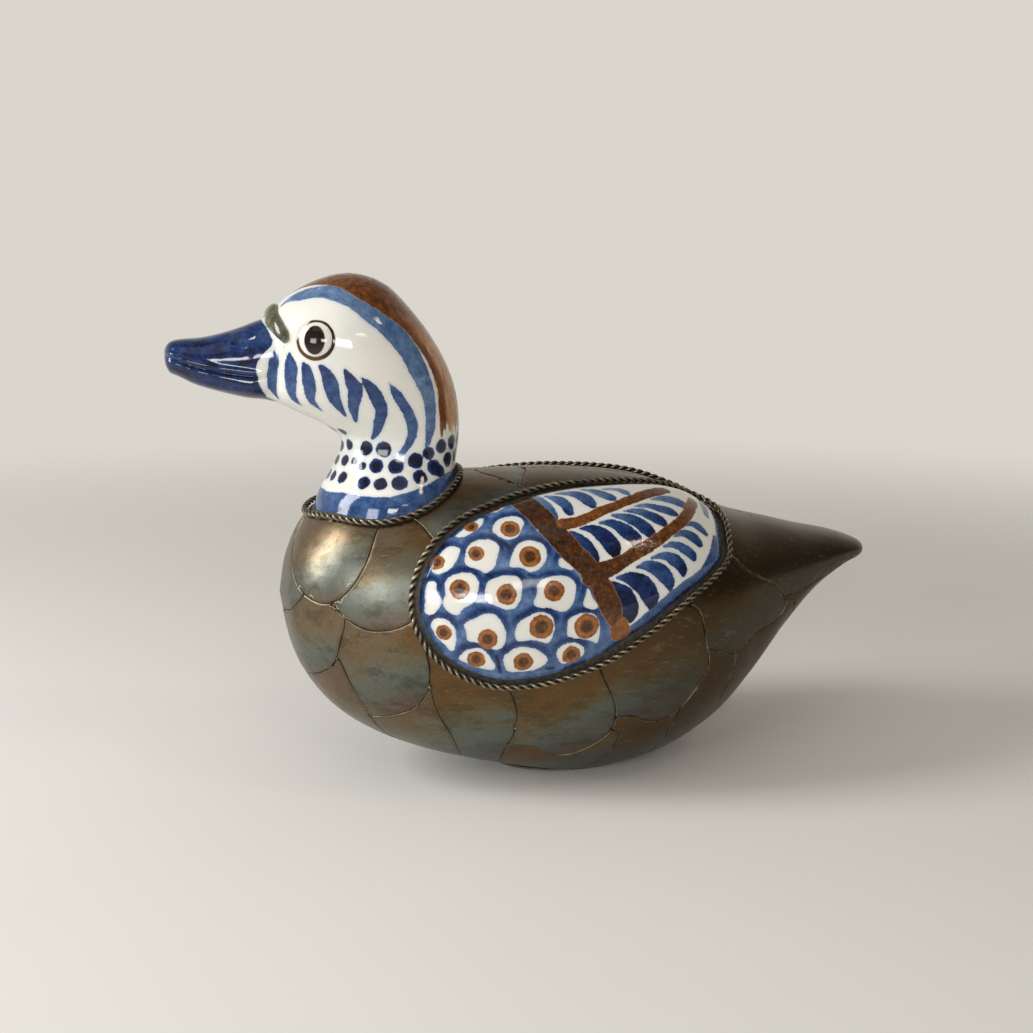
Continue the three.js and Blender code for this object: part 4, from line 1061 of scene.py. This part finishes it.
class DUCK_OT_head(bpy.types.Operator):
    """Make the neck, head and bill as one painted casting"""

    bl_idname = "duck.head"
    bl_label = "Head and Bill"

    def execute(self, context):
        sizes = context.scene.duck_sizes
        bm = bmesh.new()
        head = bmesh.ops.create_uvsphere(bm, u_segments=160, v_segments=150, radius=1)
        place_vertices(head["verts"], self.head_place)
        bill = bmesh.ops.create_uvsphere(bm, u_segments=120, v_segments=100, radius=1)
        place_vertices(bill["verts"], self.bill_place)
        bmesh.ops.recalc_face_normals(bm, faces=bm.faces)
        mesh = self.fused(bm, sizes.smoothing)
        points = points_of(mesh)
        normals = np.empty(len(points) * 3, np.float32)
        mesh.vertices.foreach_get("normal", normals)
        paint = Paint(points)
        self.paint_head(paint)
        lift = self.relief(paint, sizes)
        set_points(mesh, points + normals.reshape(-1, 3) * lift[:, None])
        paint.store(mesh)
        add_values(mesh, "eye", self.eye_places(paint.points))
        finished("neck_and_head", mesh, painted_glaze("head_glaze", head=True),
                 ["ceramic_bird"])
        return {"FINISHED"}

    @staticmethod
    def head_place(share, turn):
        height = (1 - np.cos(share * math.pi)) / 2 * (HEAD_HEIGHT + NECK_SINK) - NECK_SINK
        points = head_point(np.maximum(height, 0), turn)
        points[:, 2] += np.minimum(height, 0)
        out = points[:, :2] - (NECK_X, 0)
        out /= np.linalg.norm(out, axis=1)[:, None]
        flare = NECK_FLARE * np.clip(1 - height / FLARE_HEIGHT, 0, 1) ** 2 * np.clip(-out[:, 0], 0, 1)
        points[:, :2] += out * flare[:, None]
        points[share < 1e-4, :2] = (NECK_X, 0)
        return points

    @staticmethod
    def bill_place(share, turn):
        along = (1 - np.cos(share * math.pi)) / 2
        points = bill_point(along, turn)
        points[share < 1e-4] = (BILL_ROOT_X, 0, MOUTH_Z)
        return points

    @staticmethod
    def fused(bm, rounds):
        """Head and bill as one skin, smoothed where they meet, and finer at the bill."""
        draft = linked("rough_head", mesh_of(bm, "rough_head"))
        remesh = draft.modifiers.new("One Skin", "REMESH")
        remesh.mode = "VOXEL"
        remesh.voxel_size = HEAD_VOXEL * MM
        rough = worked_out(draft)
        bm = bmesh.new()
        bm.from_mesh(rough)
        bpy.data.meshes.remove(rough)
        for _ in range(rounds):
            bmesh.ops.smooth_vert(bm, verts=bm.verts, factor=0.5, use_axis_x=True, use_axis_y=True,
                                  use_axis_z=True)
        fine_from = (BILL_SIDE_X + 0.5) * MM
        fine = [edge for edge in bm.edges if all(vert.co.x < fine_from for vert in edge.verts)]
        bmesh.ops.subdivide_edges(bm, edges=fine, cuts=1, use_grid_fill=True, smooth=0.0)
        return mesh_of(bm, "neck_and_head")

    @staticmethod
    def paint_head(paint):
        points = paint.points
        for start, end, places in HEAD_BLUE:
            paint.stroke("blue", head_point, start, end, places)
        for height, turn, width in NECK_DOTS:
            reach = np.linalg.norm(points - head_point(height, turn), axis=1) / (width / 2)
            paint.lay("blue", (reach - 1) * width / 2, 1.08 - 0.32 * np.clip((reach - 0.45) / 0.5, 0, 1))
        edge = smooth_path(head_point(*np.array(CROWN_EDGE, float).T), 4)
        distance = side_distance(points, edge, HEAD_CENTRE)
        level = points[:, 2] - NECK_FOOT_Z
        throat = (level < THROAT_TOP) & (points[:, 0] < THROAT_X)
        # Down the nape the brown grows paler away from its edge and ends in streaks
        nape = np.clip((86 - level) / 14, 0, 1) * np.clip((-distance - 3.2) / 1.6, 0, 1)
        ends = CROWN_END + 1.7 * np.sin(points[:, 1] * 1.7 + 1) + 1.3 * np.sin(points[:, 1] * 4.1)
        distance = np.where(throat, 9, distance - 0.6 * np.clip((level - 86) / 5, 0, 1))
        paint.lay("brown", np.maximum(distance, (ends - level) * 0.6), 0.6 - 0.5 * nape)
        levels, edges = np.array(BILL_EDGE).T
        bill = points[:, 0] - np.interp(points[:, 2], levels, edges)
        paint.lay("blue", bill, np.clip(0.9 - (points[:, 2] - 166) * 0.005, 0.78, 0.96))
        paint.stroke("olive", head_point, 1, 1, BROW_PLACES)

    @staticmethod
    def relief(paint, sizes):
        """Height of the eyes, the band, the mouth's groove and the nostrils over the skin, in millimetres."""
        x, _, z = paint.points.T
        on_bill = x < BILL_SIDE_X
        eye = np.linalg.norm(paint.points - head_point(*EYE_PLACE), axis=1)
        lift = sizes.eye_rise / MM * np.sqrt(np.clip(1 - (eye / EYE_RADIUS) ** 2, 0, 1)) ** 1.3
        brow = np.clip(-paint.layers["olive"] / BROW_HALF_WIDTH, 0, 1)
        lift = lift + sizes.brow_rise / MM * np.sqrt(1 - (1 - brow) ** 2)
        line_x, line_z = np.array(MOUTH_LINE).T
        off = z - np.interp(x, line_x, line_z)
        along = np.clip((GROOVE_START_X - x) / 8, 0, 1) * np.clip((x - GROOVE_END_X) / 3, 0, 1)
        jaw = np.interp(-off, *np.array(JAW_ROLL).T)
        # The groove, the soft edge above it and the roll of the jaw below it
        groove = -np.exp(-((off / 0.6) ** 2)) + 0.6 * np.exp(-(((off - 1.9) / 1.2) ** 2)) + jaw
        lift = lift + along * groove * sizes.groove_depth / MM * on_bill
        across, up = x - NOSTRIL[0], z - NOSTRIL[1]
        dimple = (across / 3.4) ** 2 + ((up - across * 0.16) / 1.6) ** 2
        rim = np.exp(-((np.sqrt(dimple) - 1.6) ** 2) / 0.18)
        return lift + on_bill * (0.3 * rim - 1.1 * np.exp(-dimple))

    @staticmethod
    def eye_places(points):
        """Each point as seen from the middle of an eye: across and up, in millimetres."""
        centre = head_point(*EYE_PLACE)
        ahead = head_point(EYE_PLACE[0], EYE_PLACE[1] - 4) - head_point(EYE_PLACE[0], EYE_PLACE[1] + 4)
        ahead /= np.linalg.norm(ahead)
        up = head_point(EYE_PLACE[0] + 2, EYE_PLACE[1]) - head_point(EYE_PLACE[0] - 2, EYE_PLACE[1])
        up -= ahead * (up @ ahead)
        up /= np.linalg.norm(up)
        out = points - centre
        across = out @ ahead
        level = out @ up
        far = np.linalg.norm(out, axis=1) > 14
        return np.stack([np.where(far, 60, across), level, 0 * level], -1)


class DUCK_OT_wings(bpy.types.Operator):
    """Make the two painted wings that swell out of the casting"""

    bl_idname = "duck.wings"
    bl_label = "Painted Wings"

    spacing = 0.62

    def execute(self, context):
        rim = even_steps(smooth_path(flat(*DOME_RIM.T), 2, closed=True), self.spacing, closed=True)
        inner = self.inner_points(rim)
        count = len(rim)
        edges = [(i, (i + 1) % count) for i in range(count)]
        points = [Vector(place) for place in np.vstack([rim, inner])]
        places, _, faces, *_ = geometry.delaunay_2d_cdt(points, edges, [], 1, 1e-5)
        places = np.array(places)
        percent, girth = unflat(places)
        surface = wing_point(percent, girth)
        bm = bmesh.new()
        verts = [bm.verts.new(point * MM) for point in surface]
        for face in faces:
            bm.faces.new([verts[i] for i in face])
        bmesh.ops.recalc_face_normals(bm, faces=bm.faces)
        self.close_below(bm)
        bm.normal_update()
        mesh = mesh_of(bm, "left_wing")
        self.paint_wing(mesh)
        glaze = painted_glaze("wing_glaze")
        finished("left_wing", mesh, glaze, ["ceramic_bird"])
        finished("right_wing", mirrored_mesh(mesh, "right_wing"), glaze, ["ceramic_bird"])
        return {"FINISHED"}

    def inner_points(self, rim):
        grid = staggered(rim.min(0), rim.max(0), self.spacing)
        percent, girth = unflat(grid)
        share = wing_share(percent, girth)
        grid = grid[share < 1.02]
        inside = outline_distance(grid, rim[::2]) < -0.45 * self.spacing
        return grid[inside]

    @staticmethod
    def close_below(bm):
        """Draws the rim down into the casting and closes it there."""
        centre = Vector(body_point(*WING_MIDDLE) * MM)
        for vert in drawn_border(bm):
            vert.co += (centre - vert.co).normalized() * RIM_INWARD * MM
            vert.co.y += RIM_SUNK * MM
        middle = centre + Vector((0, MIDDLE_SUNK * MM, 0))
        bmesh.ops.pointmerge(bm, verts=drawn_border(bm), merge_co=middle)
        bmesh.ops.recalc_face_normals(bm, faces=bm.faces)

    @staticmethod
    def paint_wing(mesh):
        points = points_of(mesh)
        paint = Paint(points)
        percent, girth = nearest_places(points)
        places = flat(percent, girth)
        for start, end, stroke in WING_BLUE:
            paint.stroke("blue", wing_point, start + BLUE_SOAK[0], end + BLUE_SOAK[1], stroke, BLUE_SPREAD)
        field = outline_distance(places, flat_outline(WING_FIELD, 3, smooth=False))
        cells, arcs = np.full(len(points), FAR), np.zeros(len(points))
        for cell in WING_CELLS:
            distance = outline_distance(places, flat_outline(cell, 1.2))
            cells = np.minimum(cells, distance)
            above = np.clip((np.mean(cell, axis=0)[1] - girth) / 5 + 0.4, 0, 1)
            arcs = np.maximum(arcs, above * np.exp(-((distance - 1.2) / 1.3) ** 2))
        paint.lay("blue", np.maximum(field, -cells), 0.4 + 0.42 * arcs)
        dome = even_steps(smooth_path(flat(*DOME_RIM.T), 2, closed=True), 1.0, closed=True)
        down = (girth - WING_MIDDLE[1]) / GIRTH_PER_PERCENT
        turn = np.degrees(np.arctan2(down, percent - WING_MIDDLE[0]))
        band = np.interp(turn, *np.array(WING_BAND).T, period=360)
        inside = -outline_distance(places, dome)
        # The band is blue paint; it grows darker towards the rim as painted shade, where the dome turns down
        # into the crevice by the trim
        paint.lay("blue", inside - band, 0.48 + 0.36 * np.clip(1 - inside / band, 0, 1))
        for depth, stroke in WING_ACCENTS:
            path = np.array(stroke, float)
            path = np.hstack([wing_point(path[:, 0], path[:, 1]), path[:, 2:3]])
            distance, _ = stroke_distance(paint.points, path)
            inside = np.clip(-distance / 0.5 + 0.4, 0, 1)
            paint.depths["blue"] += (depth - paint.depths["blue"]) * inside
            paint.layers["blue"] = np.minimum(paint.layers["blue"], distance)
        for start, end, stroke in WING_BROWN:
            paint.stroke("brown", wing_point, start, end, stroke, BROWN_SPREAD)
        for place in WING_DOTS:
            paint.dot("brown", wing_point, *place)
        paint.store(mesh)


def drawn_border(bm):
    """Extrudes the open border of a mesh and gives its new vertices."""
    border = [edge for edge in bm.edges if edge.is_boundary]
    made = bmesh.ops.extrude_edge_only(bm, edges=border)
    return [item for item in made["geom"] if isinstance(item, bmesh.types.BMVert)]


def nearest_places(points):
    """Places on the left wing, as percent and degrees, whose points lie nearest to the given ones."""
    # A grid a little larger than the wing gives the start, and three rounds refine it
    percents, girths = np.arange(16, 72.5, 0.35), np.arange(8, 106, 0.8)
    grid = np.stack(np.meshgrid(percents, girths, indexing="ij"), -1).reshape(-1, 2)
    known = wing_point(*grid.T)
    tree = tree_of(known)
    found = np.array([grid[tree.find(point)[1]] for point in points])
    percent, girth = found.T
    for _ in range(3):
        here = wing_point(percent, girth)
        ahead = (wing_point(percent + 0.1, girth) - here) / 0.1
        down = (wing_point(percent, girth + 0.2) - here) / 0.2
        off = points - here
        aa, bb, ab = (ahead * ahead).sum(1), (down * down).sum(1), (ahead * down).sum(1)
        oa, ob = (off * ahead).sum(1), (off * down).sum(1)
        span = np.maximum(aa * bb - ab * ab, 1e-6)
        percent = percent + np.clip((oa * bb - ob * ab) / span, -0.3, 0.3)
        girth = girth + np.clip((ob * aa - oa * ab) / span, -0.6, 0.6)
    return percent, girth


def tree_of(points):
    """A tree in which the nearest of the points is quickly found."""
    tree = kdtree.KDTree(len(points))
    for i, point in enumerate(points):
        tree.insert(point, i)
    tree.balance()
    return tree


class DUCK_OT_feathers(bpy.types.Operator):
    """Cut the metal feathers from a skin over the casting, in the order in which they overlap"""

    bl_idname = "duck.feathers"
    bl_label = "Metal Feathers"

    def execute(self, context):
        sizes = context.scene.duck_sizes
        step = sizes.feather_step / MM
        places, faces, owners = self.arrange(step)
        metal = feather_metal("feather_metal")
        percent, girth = unflat(places)
        skin = over_body(percent, girth, np.full(len(percent), CLEARANCE + PLATE_THICKNESS))
        skin[:, 2] = np.maximum(skin[:, 2], 0)
        middle = np.abs(places[:, 1]) > np.interp(places[:, 0], FLAT_LENGTHS, FLAT_GIRTH_SPANS) / 2 - 1e-3
        names = [(name, paired) for name, paired, _ in FEATHERS] + [("tail_cover", False)]
        for number, (name, paired) in enumerate(names):
            own = faces[owners == number]
            if paired:
                mesh = self.feather("left_" + name, skin, own, False, middle, sizes, number)
                self.sheet("left_" + name, mesh, metal, sizes)
                self.sheet("right_" + name, mirrored_mesh(mesh, "right_" + name), metal, sizes)
            else:
                self.sheet(name, self.feather(name, skin, own, True, middle, sizes, number), metal, sizes)
        return {"FINISHED"}

    @staticmethod
    def sheet(name, mesh, metal, sizes):
        """Shows a feather, with its thickness drawn inwards."""
        piece = finished(name + "_feather", mesh, metal, [name + "_plate"])
        wall = piece.modifiers.new("Sheet Thickness", "SOLIDIFY")
        wall.thickness = sizes.sheet_thickness * SHOWN_THICKNESS
        wall.offset = -1

    @staticmethod
    def arrange(step):
        """Points and triangles over the whole left half, and the feather that each triangle is part of."""
        percents = 50 - 50 * np.cos(np.linspace(0, math.pi, 160))
        top, bottom = flat(percents, np.zeros(160)), flat(percents, np.full(160, 180.0))
        border = even_steps(np.vstack([top, bottom[-2:0:-1]]), step, closed=True)
        loops = [border, flat_outline(WING_OUTLINE, step)]
        # The openings for the neck and the foot close beyond the middle line of the body
        for opening in (neck_places() + [(22, -30), (6, -30)], foot_places() + [(34, 210), (60, 210)]):
            loops.append(flat_outline(opening, step, smooth=False))
        first = len(loops)
        for *_, outline in FEATHERS:
            loops.append(flat_outline(outline, step))
        points, outlines = [], []
        for loop in loops:
            area = np.cross(loop, np.roll(loop, -1, axis=0)).sum()
            loop = loop if area > 0 else loop[::-1]
            outlines.append(list(range(len(points), len(points) + len(loop))))
            points.extend(loop)
        near = np.vstack(loops)
        grid = staggered(border.min(0), border.max(0), step)
        grid = grid[outline_distance(grid, border) < -0.5 * step]
        tree = tree_of(np.pad(near, ((0, 0), (0, 1))))
        clear = [tree.find((x, y, 0))[2] > 0.55 * step for x, y in grid]
        points = [Vector(point) for point in np.vstack([points, grid[np.array(clear)]])]
        places, _, made, _, _, sources = geometry.delaunay_2d_cdt(points, [], outlines, 0, 1e-4)
        faces, owners = [], []
        for face, source in zip(made, sources):
            if 0 not in source or set(range(1, first)) & set(source):
                continue
            inside = sorted(k for k in source if k >= first)
            faces.append(face)
            owners.append(inside[0] - first if inside else len(FEATHERS))
        return np.array(places), np.array(faces), np.array(owners)

    @staticmethod
    def feather(name, skin, faces, whole, middle, sizes, number):
        """One feather: its part of the skin, parted from the others by a seam and pressed down beside it."""
        used, local = np.unique(faces, return_inverse=True)
        local = local.reshape(-1, 3)
        bm = bmesh.new()
        verts = [bm.verts.new(point * MM) for point in skin[used]]
        for a, b, c in local:
            bm.faces.new((verts[a], verts[b], verts[c]))
        keep_largest(bm)
        if whole:
            for vert, on_middle in zip(verts, middle[used]):
                if vert.is_valid and on_middle:
                    vert.co.y = 0
            made = bmesh.ops.duplicate(bm, geom=bm.verts[:] + bm.edges[:] + bm.faces[:])
            copies = [item for item in made["geom"] if isinstance(item, bmesh.types.BMVert)]
            bmesh.ops.transform(bm, matrix=Matrix.Diagonal((1, -1, 1, 1)), verts=copies)
            bmesh.ops.remove_doubles(bm, verts=bm.verts, dist=0.02 * MM)
        bmesh.ops.recalc_face_normals(bm, faces=bm.faces)
        bm.normal_update()
        centre = Vector((float(np.mean([v.co.x for v in bm.verts])), 0, 0.07))
        outward = sum(face.normal.dot(face.calc_center_median() - centre) for face in bm.faces)
        if outward < 0:
            bmesh.ops.reverse_faces(bm, faces=bm.faces)
        bmesh.ops.delete(bm, geom=border_strip(bm, sizes.seam_width / 2), context="FACES")
        border_strip(bm, PRESSED_EDGE * MM)
        keep_largest(bm)
        bm.normal_update()
        # Neighbours take the painted shade from slightly different places
        DUCK_OT_feathers.shape(bm, (number * 0.618) % 1 * 0.2)
        return mesh_of(bm, name)

    @staticmethod
    def shape(bm, shift):
        """Crowns a feather, presses its edge down and stores what its tarnish, its painted reflection and its
        painted shade follow.
        """
        edge = distance_to_border(bm)
        # The tarnish and the painted reflection run from the top of a feather to its foot
        flow = np.array([vert.co.z - 0.35 * vert.co.x for vert in bm.verts])
        flow = (flow.max() - flow) / max(flow.max() - flow.min(), 1e-6)
        normals = [vert.normal.copy() for vert in bm.verts]
        layer = {key: bm.verts.layers.float.new(key) for key in ("edge", "patina_and_reflection", "rear_shade")}
        for vert, normal, gap, down in zip(bm.verts, normals, edge, flow):
            press = PRESSED_DEPTH * max(1 - gap / PRESSED_EDGE, 0) ** 2
            crown = CROWN_RISE * min(gap / CROWN_REACH, 1) ** 0.7
            # Painted shade, from none at the front to full at the rear
            rear_shade = min(max((vert.co.x / MM - SHADE_FROM_X) / SHADE_OVER - shift, 0), 1)
            vert.co += normal * (crown - press) * MM
            vert.co.z = max(vert.co.z, 0)
            vert[layer["edge"]], vert[layer["patina_and_reflection"]], vert[layer["rear_shade"]] = gap, down, rear_shade


def border_strip(bm, width):
    """Cuts a strip off along the open border of a mesh, without parting it, and gives its faces."""
    return bmesh.ops.inset_region(bm, faces=bm.faces, thickness=width, use_boundary=True,
                                  use_even_offset=False)["faces"]


def keep_largest(bm):
    """Deletes offcuts that lie loose beside the largest part."""
    seen, parts = set(), []
    for face in bm.faces:
        if face in seen:
            continue
        part, stack = [], [face]
        seen.add(face)
        while stack:
            here = stack.pop()
            part.append(here)
            for edge in here.edges:
                for other in edge.link_faces:
                    if other not in seen:
                        seen.add(other)
                        stack.append(other)
        parts.append(part)
    parts.sort(key=len)
    loose = [face for part in parts[:-1] for face in part]
    bmesh.ops.delete(bm, geom=loose, context="FACES")
    stray = [vert for vert in bm.verts if not vert.link_faces]
    bmesh.ops.delete(bm, geom=stray, context="VERTS")


def distance_to_border(bm):
    """How far each vertex lies from the open border, in millimetres."""
    border = []
    for edge in bm.edges:
        if edge.is_boundary:
            a, b = (vert.co for vert in edge.verts)
            steps = max(int((b - a).length / (0.3 * MM)), 1)
            border.extend(a.lerp(b, k / steps) for k in range(steps))
    tree = tree_of(border)
    on_border = {vert for edge in bm.edges if edge.is_boundary for vert in edge.verts}
    return [0.0 if vert in on_border else tree.find(vert.co)[2] / MM for vert in bm.verts]


class DUCK_OT_ropes(bpy.types.Operator):
    """Make the twisted-wire trims round the neck and the wings"""

    bl_idname = "duck.ropes"
    bl_label = "Twisted-Wire Trims"

    def execute(self, context):
        wire = twisted_wire_metal("twisted_wire")
        half = neck_places()
        neck = half + [(percent, -girth) for percent, girth in half[-2:0:-1]]
        self.rope("neck_rope", np.array(neck), wire, context.scene.duck_sizes)
        mesh = self.rope("left_wing_rope", WING_RIM, wire, context.scene.duck_sizes)
        finished("right_wing_rope", mirrored_mesh(mesh, "right_wing_rope"), wire,
                 ["right_wing_rope_trim"])
        return {"FINISHED"}

    @staticmethod
    def rope(name, places, wire, sizes):
        """Two strands wound round each other along a closed line over the body."""
        height = 2 * CLEARANCE + PLATE_THICKNESS + ROPE_RADIUS
        line = over_body(*places.T, np.full(len(places), height))
        # The normals go along a thousandfold smaller, so that the steps are even along the line itself
        fine = even_steps(np.hstack([line, body_normal(*places.T) * 0.001]), 0.45, closed=True)
        path, out = fine[:, :3], fine[:, 3:]
        ahead = np.roll(path, -1, axis=0) - np.roll(path, 1, axis=0)
        ahead /= np.linalg.norm(ahead, axis=1, keepdims=True)
        out = out - ahead * (out * ahead).sum(1, keepdims=True)
        out /= np.linalg.norm(out, axis=1, keepdims=True)
        across = np.cross(ahead, out)
        steps = np.linalg.norm(np.roll(path, -1, axis=0) - path, axis=1)
        length = steps.sum()
        turns = round(length / (sizes.twist_length / MM))
        phase = np.concatenate([[0], np.cumsum(steps)[:-1]]) / length * turns * 2 * math.pi
        curve = bpy.data.curves.new(name, "CURVE")
        curve.dimensions = "3D"
        curve.bevel_depth = sizes.strand_diameter / 2
        curve.bevel_resolution = 2
        radius = ROPE_RADIUS - sizes.strand_diameter / 2 / MM
        for strand in (0, math.pi):
            turn = (phase + strand)[:, None]
            points = path + radius * (np.cos(turn) * out + np.sin(turn) * across)
            spline = curve.splines.new("POLY")
            spline.points.add(len(points) - 1)
            spline.points.foreach_set("co", np.hstack([points * MM, np.ones((len(points), 1))]).ravel())
            spline.use_cyclic_u = True
        mesh = worked_out(linked(name + "_path", curve))
        mesh.name = name
        points = points_of(mesh)
        tree = tree_of(path)
        add_values(mesh, "crest", [tree.find(point)[2] / ROPE_RADIUS for point in points])
        finished(name, mesh, wire, [name + "_trim"])
        return mesh


class DUCK_OT_base_sheet(bpy.types.Operator):
    """Give the flat base sheet its metal"""

    bl_idname = "duck.base_sheet"
    bl_label = "Base Sheet"

    def execute(self, context):
        sheet = NODES["base_plate"]
        metal = base_metal("base_metal")
        for slot in sheet.material_slots:
            slot.material = metal
        return {"FINISHED"}


class DUCK_OT_stage(bpy.types.Operator):
    """Set up the pale floor, the soft light and the camera"""

    bl_idname = "duck.stage"
    bl_label = "Stage"

    target = Vector((-0.0085, 0, 0.1062))

    def execute(self, context):
        bm = bmesh.new()
        bmesh.ops.create_grid(bm, x_segments=8, y_segments=8, size=3)
        floor = linked("floor", mesh_of(bm, "floor"))
        floor.data.materials.append(self.floor_finish(context.scene.duck_colours))
        self.world(context)
        for lamp in LAMPS:
            self.lamp(*lamp)
        self.camera(context)
        return {"FINISHED"}

    def spot(self, azimuth, elevation, distance):
        """A place round the bird, from the direction in which it lies."""
        a, e = math.radians(azimuth), math.radians(elevation)
        away = Vector((math.sin(a) * math.cos(e), -math.cos(a) * math.cos(e), math.sin(e)))
        return self.target + distance * away

    def lamp(self, name, azimuth, elevation, distance, size, power, colour):
        """A soft lamp that looks at the bird."""
        light = bpy.data.lights.new(name, "AREA")
        light.shape = "RECTANGLE"
        light.size, light.size_y = size
        light.energy = power
        light.color = colour
        lamp = linked(name, light)
        lamp.location = self.spot(azimuth, elevation, distance)
        lamp.rotation_euler = (self.target - lamp.location).to_track_quat("-Z", "Y").to_euler()

    @staticmethod
    def floor_finish(colours):
        """A pale floor that keeps the shadow, and farther off fades into the background."""
        f = Finish("pale_floor")
        tint = f.mix(f.noise(6, 3), shade(colours.floor, 0.97), shade(colours.floor, 1.03))
        here = f.add("TexCoord", output="Object")
        far = f.rise(f.add("VectorMath", here, operation="LENGTH", output="Value"), 0.3, 1.1)
        lit = f.add("BsdfPrincipled", inputs={"Base Color": tint, "Roughness": 0.8})
        plain = f.add("Emission", inputs={"Color": tuple(colours.background), "Strength": 1.0})
        return f.shown(f.add("MixShader", far * seen_directly(f), lit, plain))

    @staticmethod
    def world(context):
        """A pale room that is darker overhead; it lights the bird more from the window's side."""
        f = Finish("soft_room", world=True)
        here = f.add("TexCoord", output="Generated")
        x, y, z = (f.add("SeparateXYZ", here, output=k) for k in range(3))
        overhead = f.rise(z, 0.25, 0.85)
        colour = tuple(context.scene.duck_colours.background)
        side = f.rise(x * -0.85 - y * 0.5, -0.7, 0.9)
        facing = f.add("LightPath", output="Is Camera Ray")
        away = f.rise(y, 0.6, -0.2) * (1 - side * 0.45) * (1 - facing)
        room = f.mix(away, f.mix(overhead, colour, shade(colour, 0.32)), (0.1, 0.08, 0.06, 1))
        light = f.mix(side, (0.22, 0.175, 0.13, 1), (0.38, 0.4, 0.41, 1))
        light = f.mix(overhead, light, (0.26, 0.24, 0.21, 1))
        seen = f.add("Background", inputs={"Color": room, "Strength": 1.0})
        lit = f.add("Background", inputs={"Color": light, "Strength": 1.0})
        context.scene.world = f.shown(f.add("MixShader", seen_directly(f), lit, seen), "OutputWorld")

    def camera(self, context):
        data = bpy.data.cameras.new("camera")
        data.sensor_width = 36
        data.lens = FOCAL_PIXELS / FRAME_PIXELS * data.sensor_width
        camera = linked("camera", data)
        camera.location = self.spot(*VIEW)
        camera.rotation_euler = (math.radians(90 - VIEW[1]), 0, math.radians(VIEW[0]))
        context.scene.camera = camera
        context.scene.view_settings.view_transform = "Standard"


class DUCK_PT_figurine(bpy.types.Panel):
    bl_label = "Ceramic Duck"
    bl_idname = "DUCK_PT_figurine"
    bl_space_type = "VIEW_3D"
    bl_region_type = "UI"
    bl_category = "Duck"

    def draw(self, context):
        layout = self.layout
        for group in (context.scene.duck_sizes, context.scene.duck_colours):
            box = layout.box()
            for name in group.__annotations__:
                box.prop(group, name)
        for operator in OPERATORS:
            layout.operator(operator.bl_idname)


OPERATORS = (DUCK_OT_cast_body, DUCK_OT_head, DUCK_OT_wings, DUCK_OT_feathers, DUCK_OT_ropes,
             DUCK_OT_base_sheet, DUCK_OT_stage)
CLASSES = (DuckSizes, DuckColours, *OPERATORS, DUCK_PT_figurine)


def register():
    for cls in CLASSES:
        bpy.utils.register_class(cls)
    bpy.types.Scene.duck_sizes = PointerProperty(type=DuckSizes)
    bpy.types.Scene.duck_colours = PointerProperty(type=DuckColours)


def unregister():
    del bpy.types.Scene.duck_colours
    del bpy.types.Scene.duck_sizes
    for cls in reversed(CLASSES):
        bpy.utils.unregister_class(cls)


def main():
    register()
    for operator in OPERATORS:
        section, name = operator.bl_idname.split(".")
        getattr(getattr(bpy.ops, section), name)()


if __name__ == "__main__":
    main()
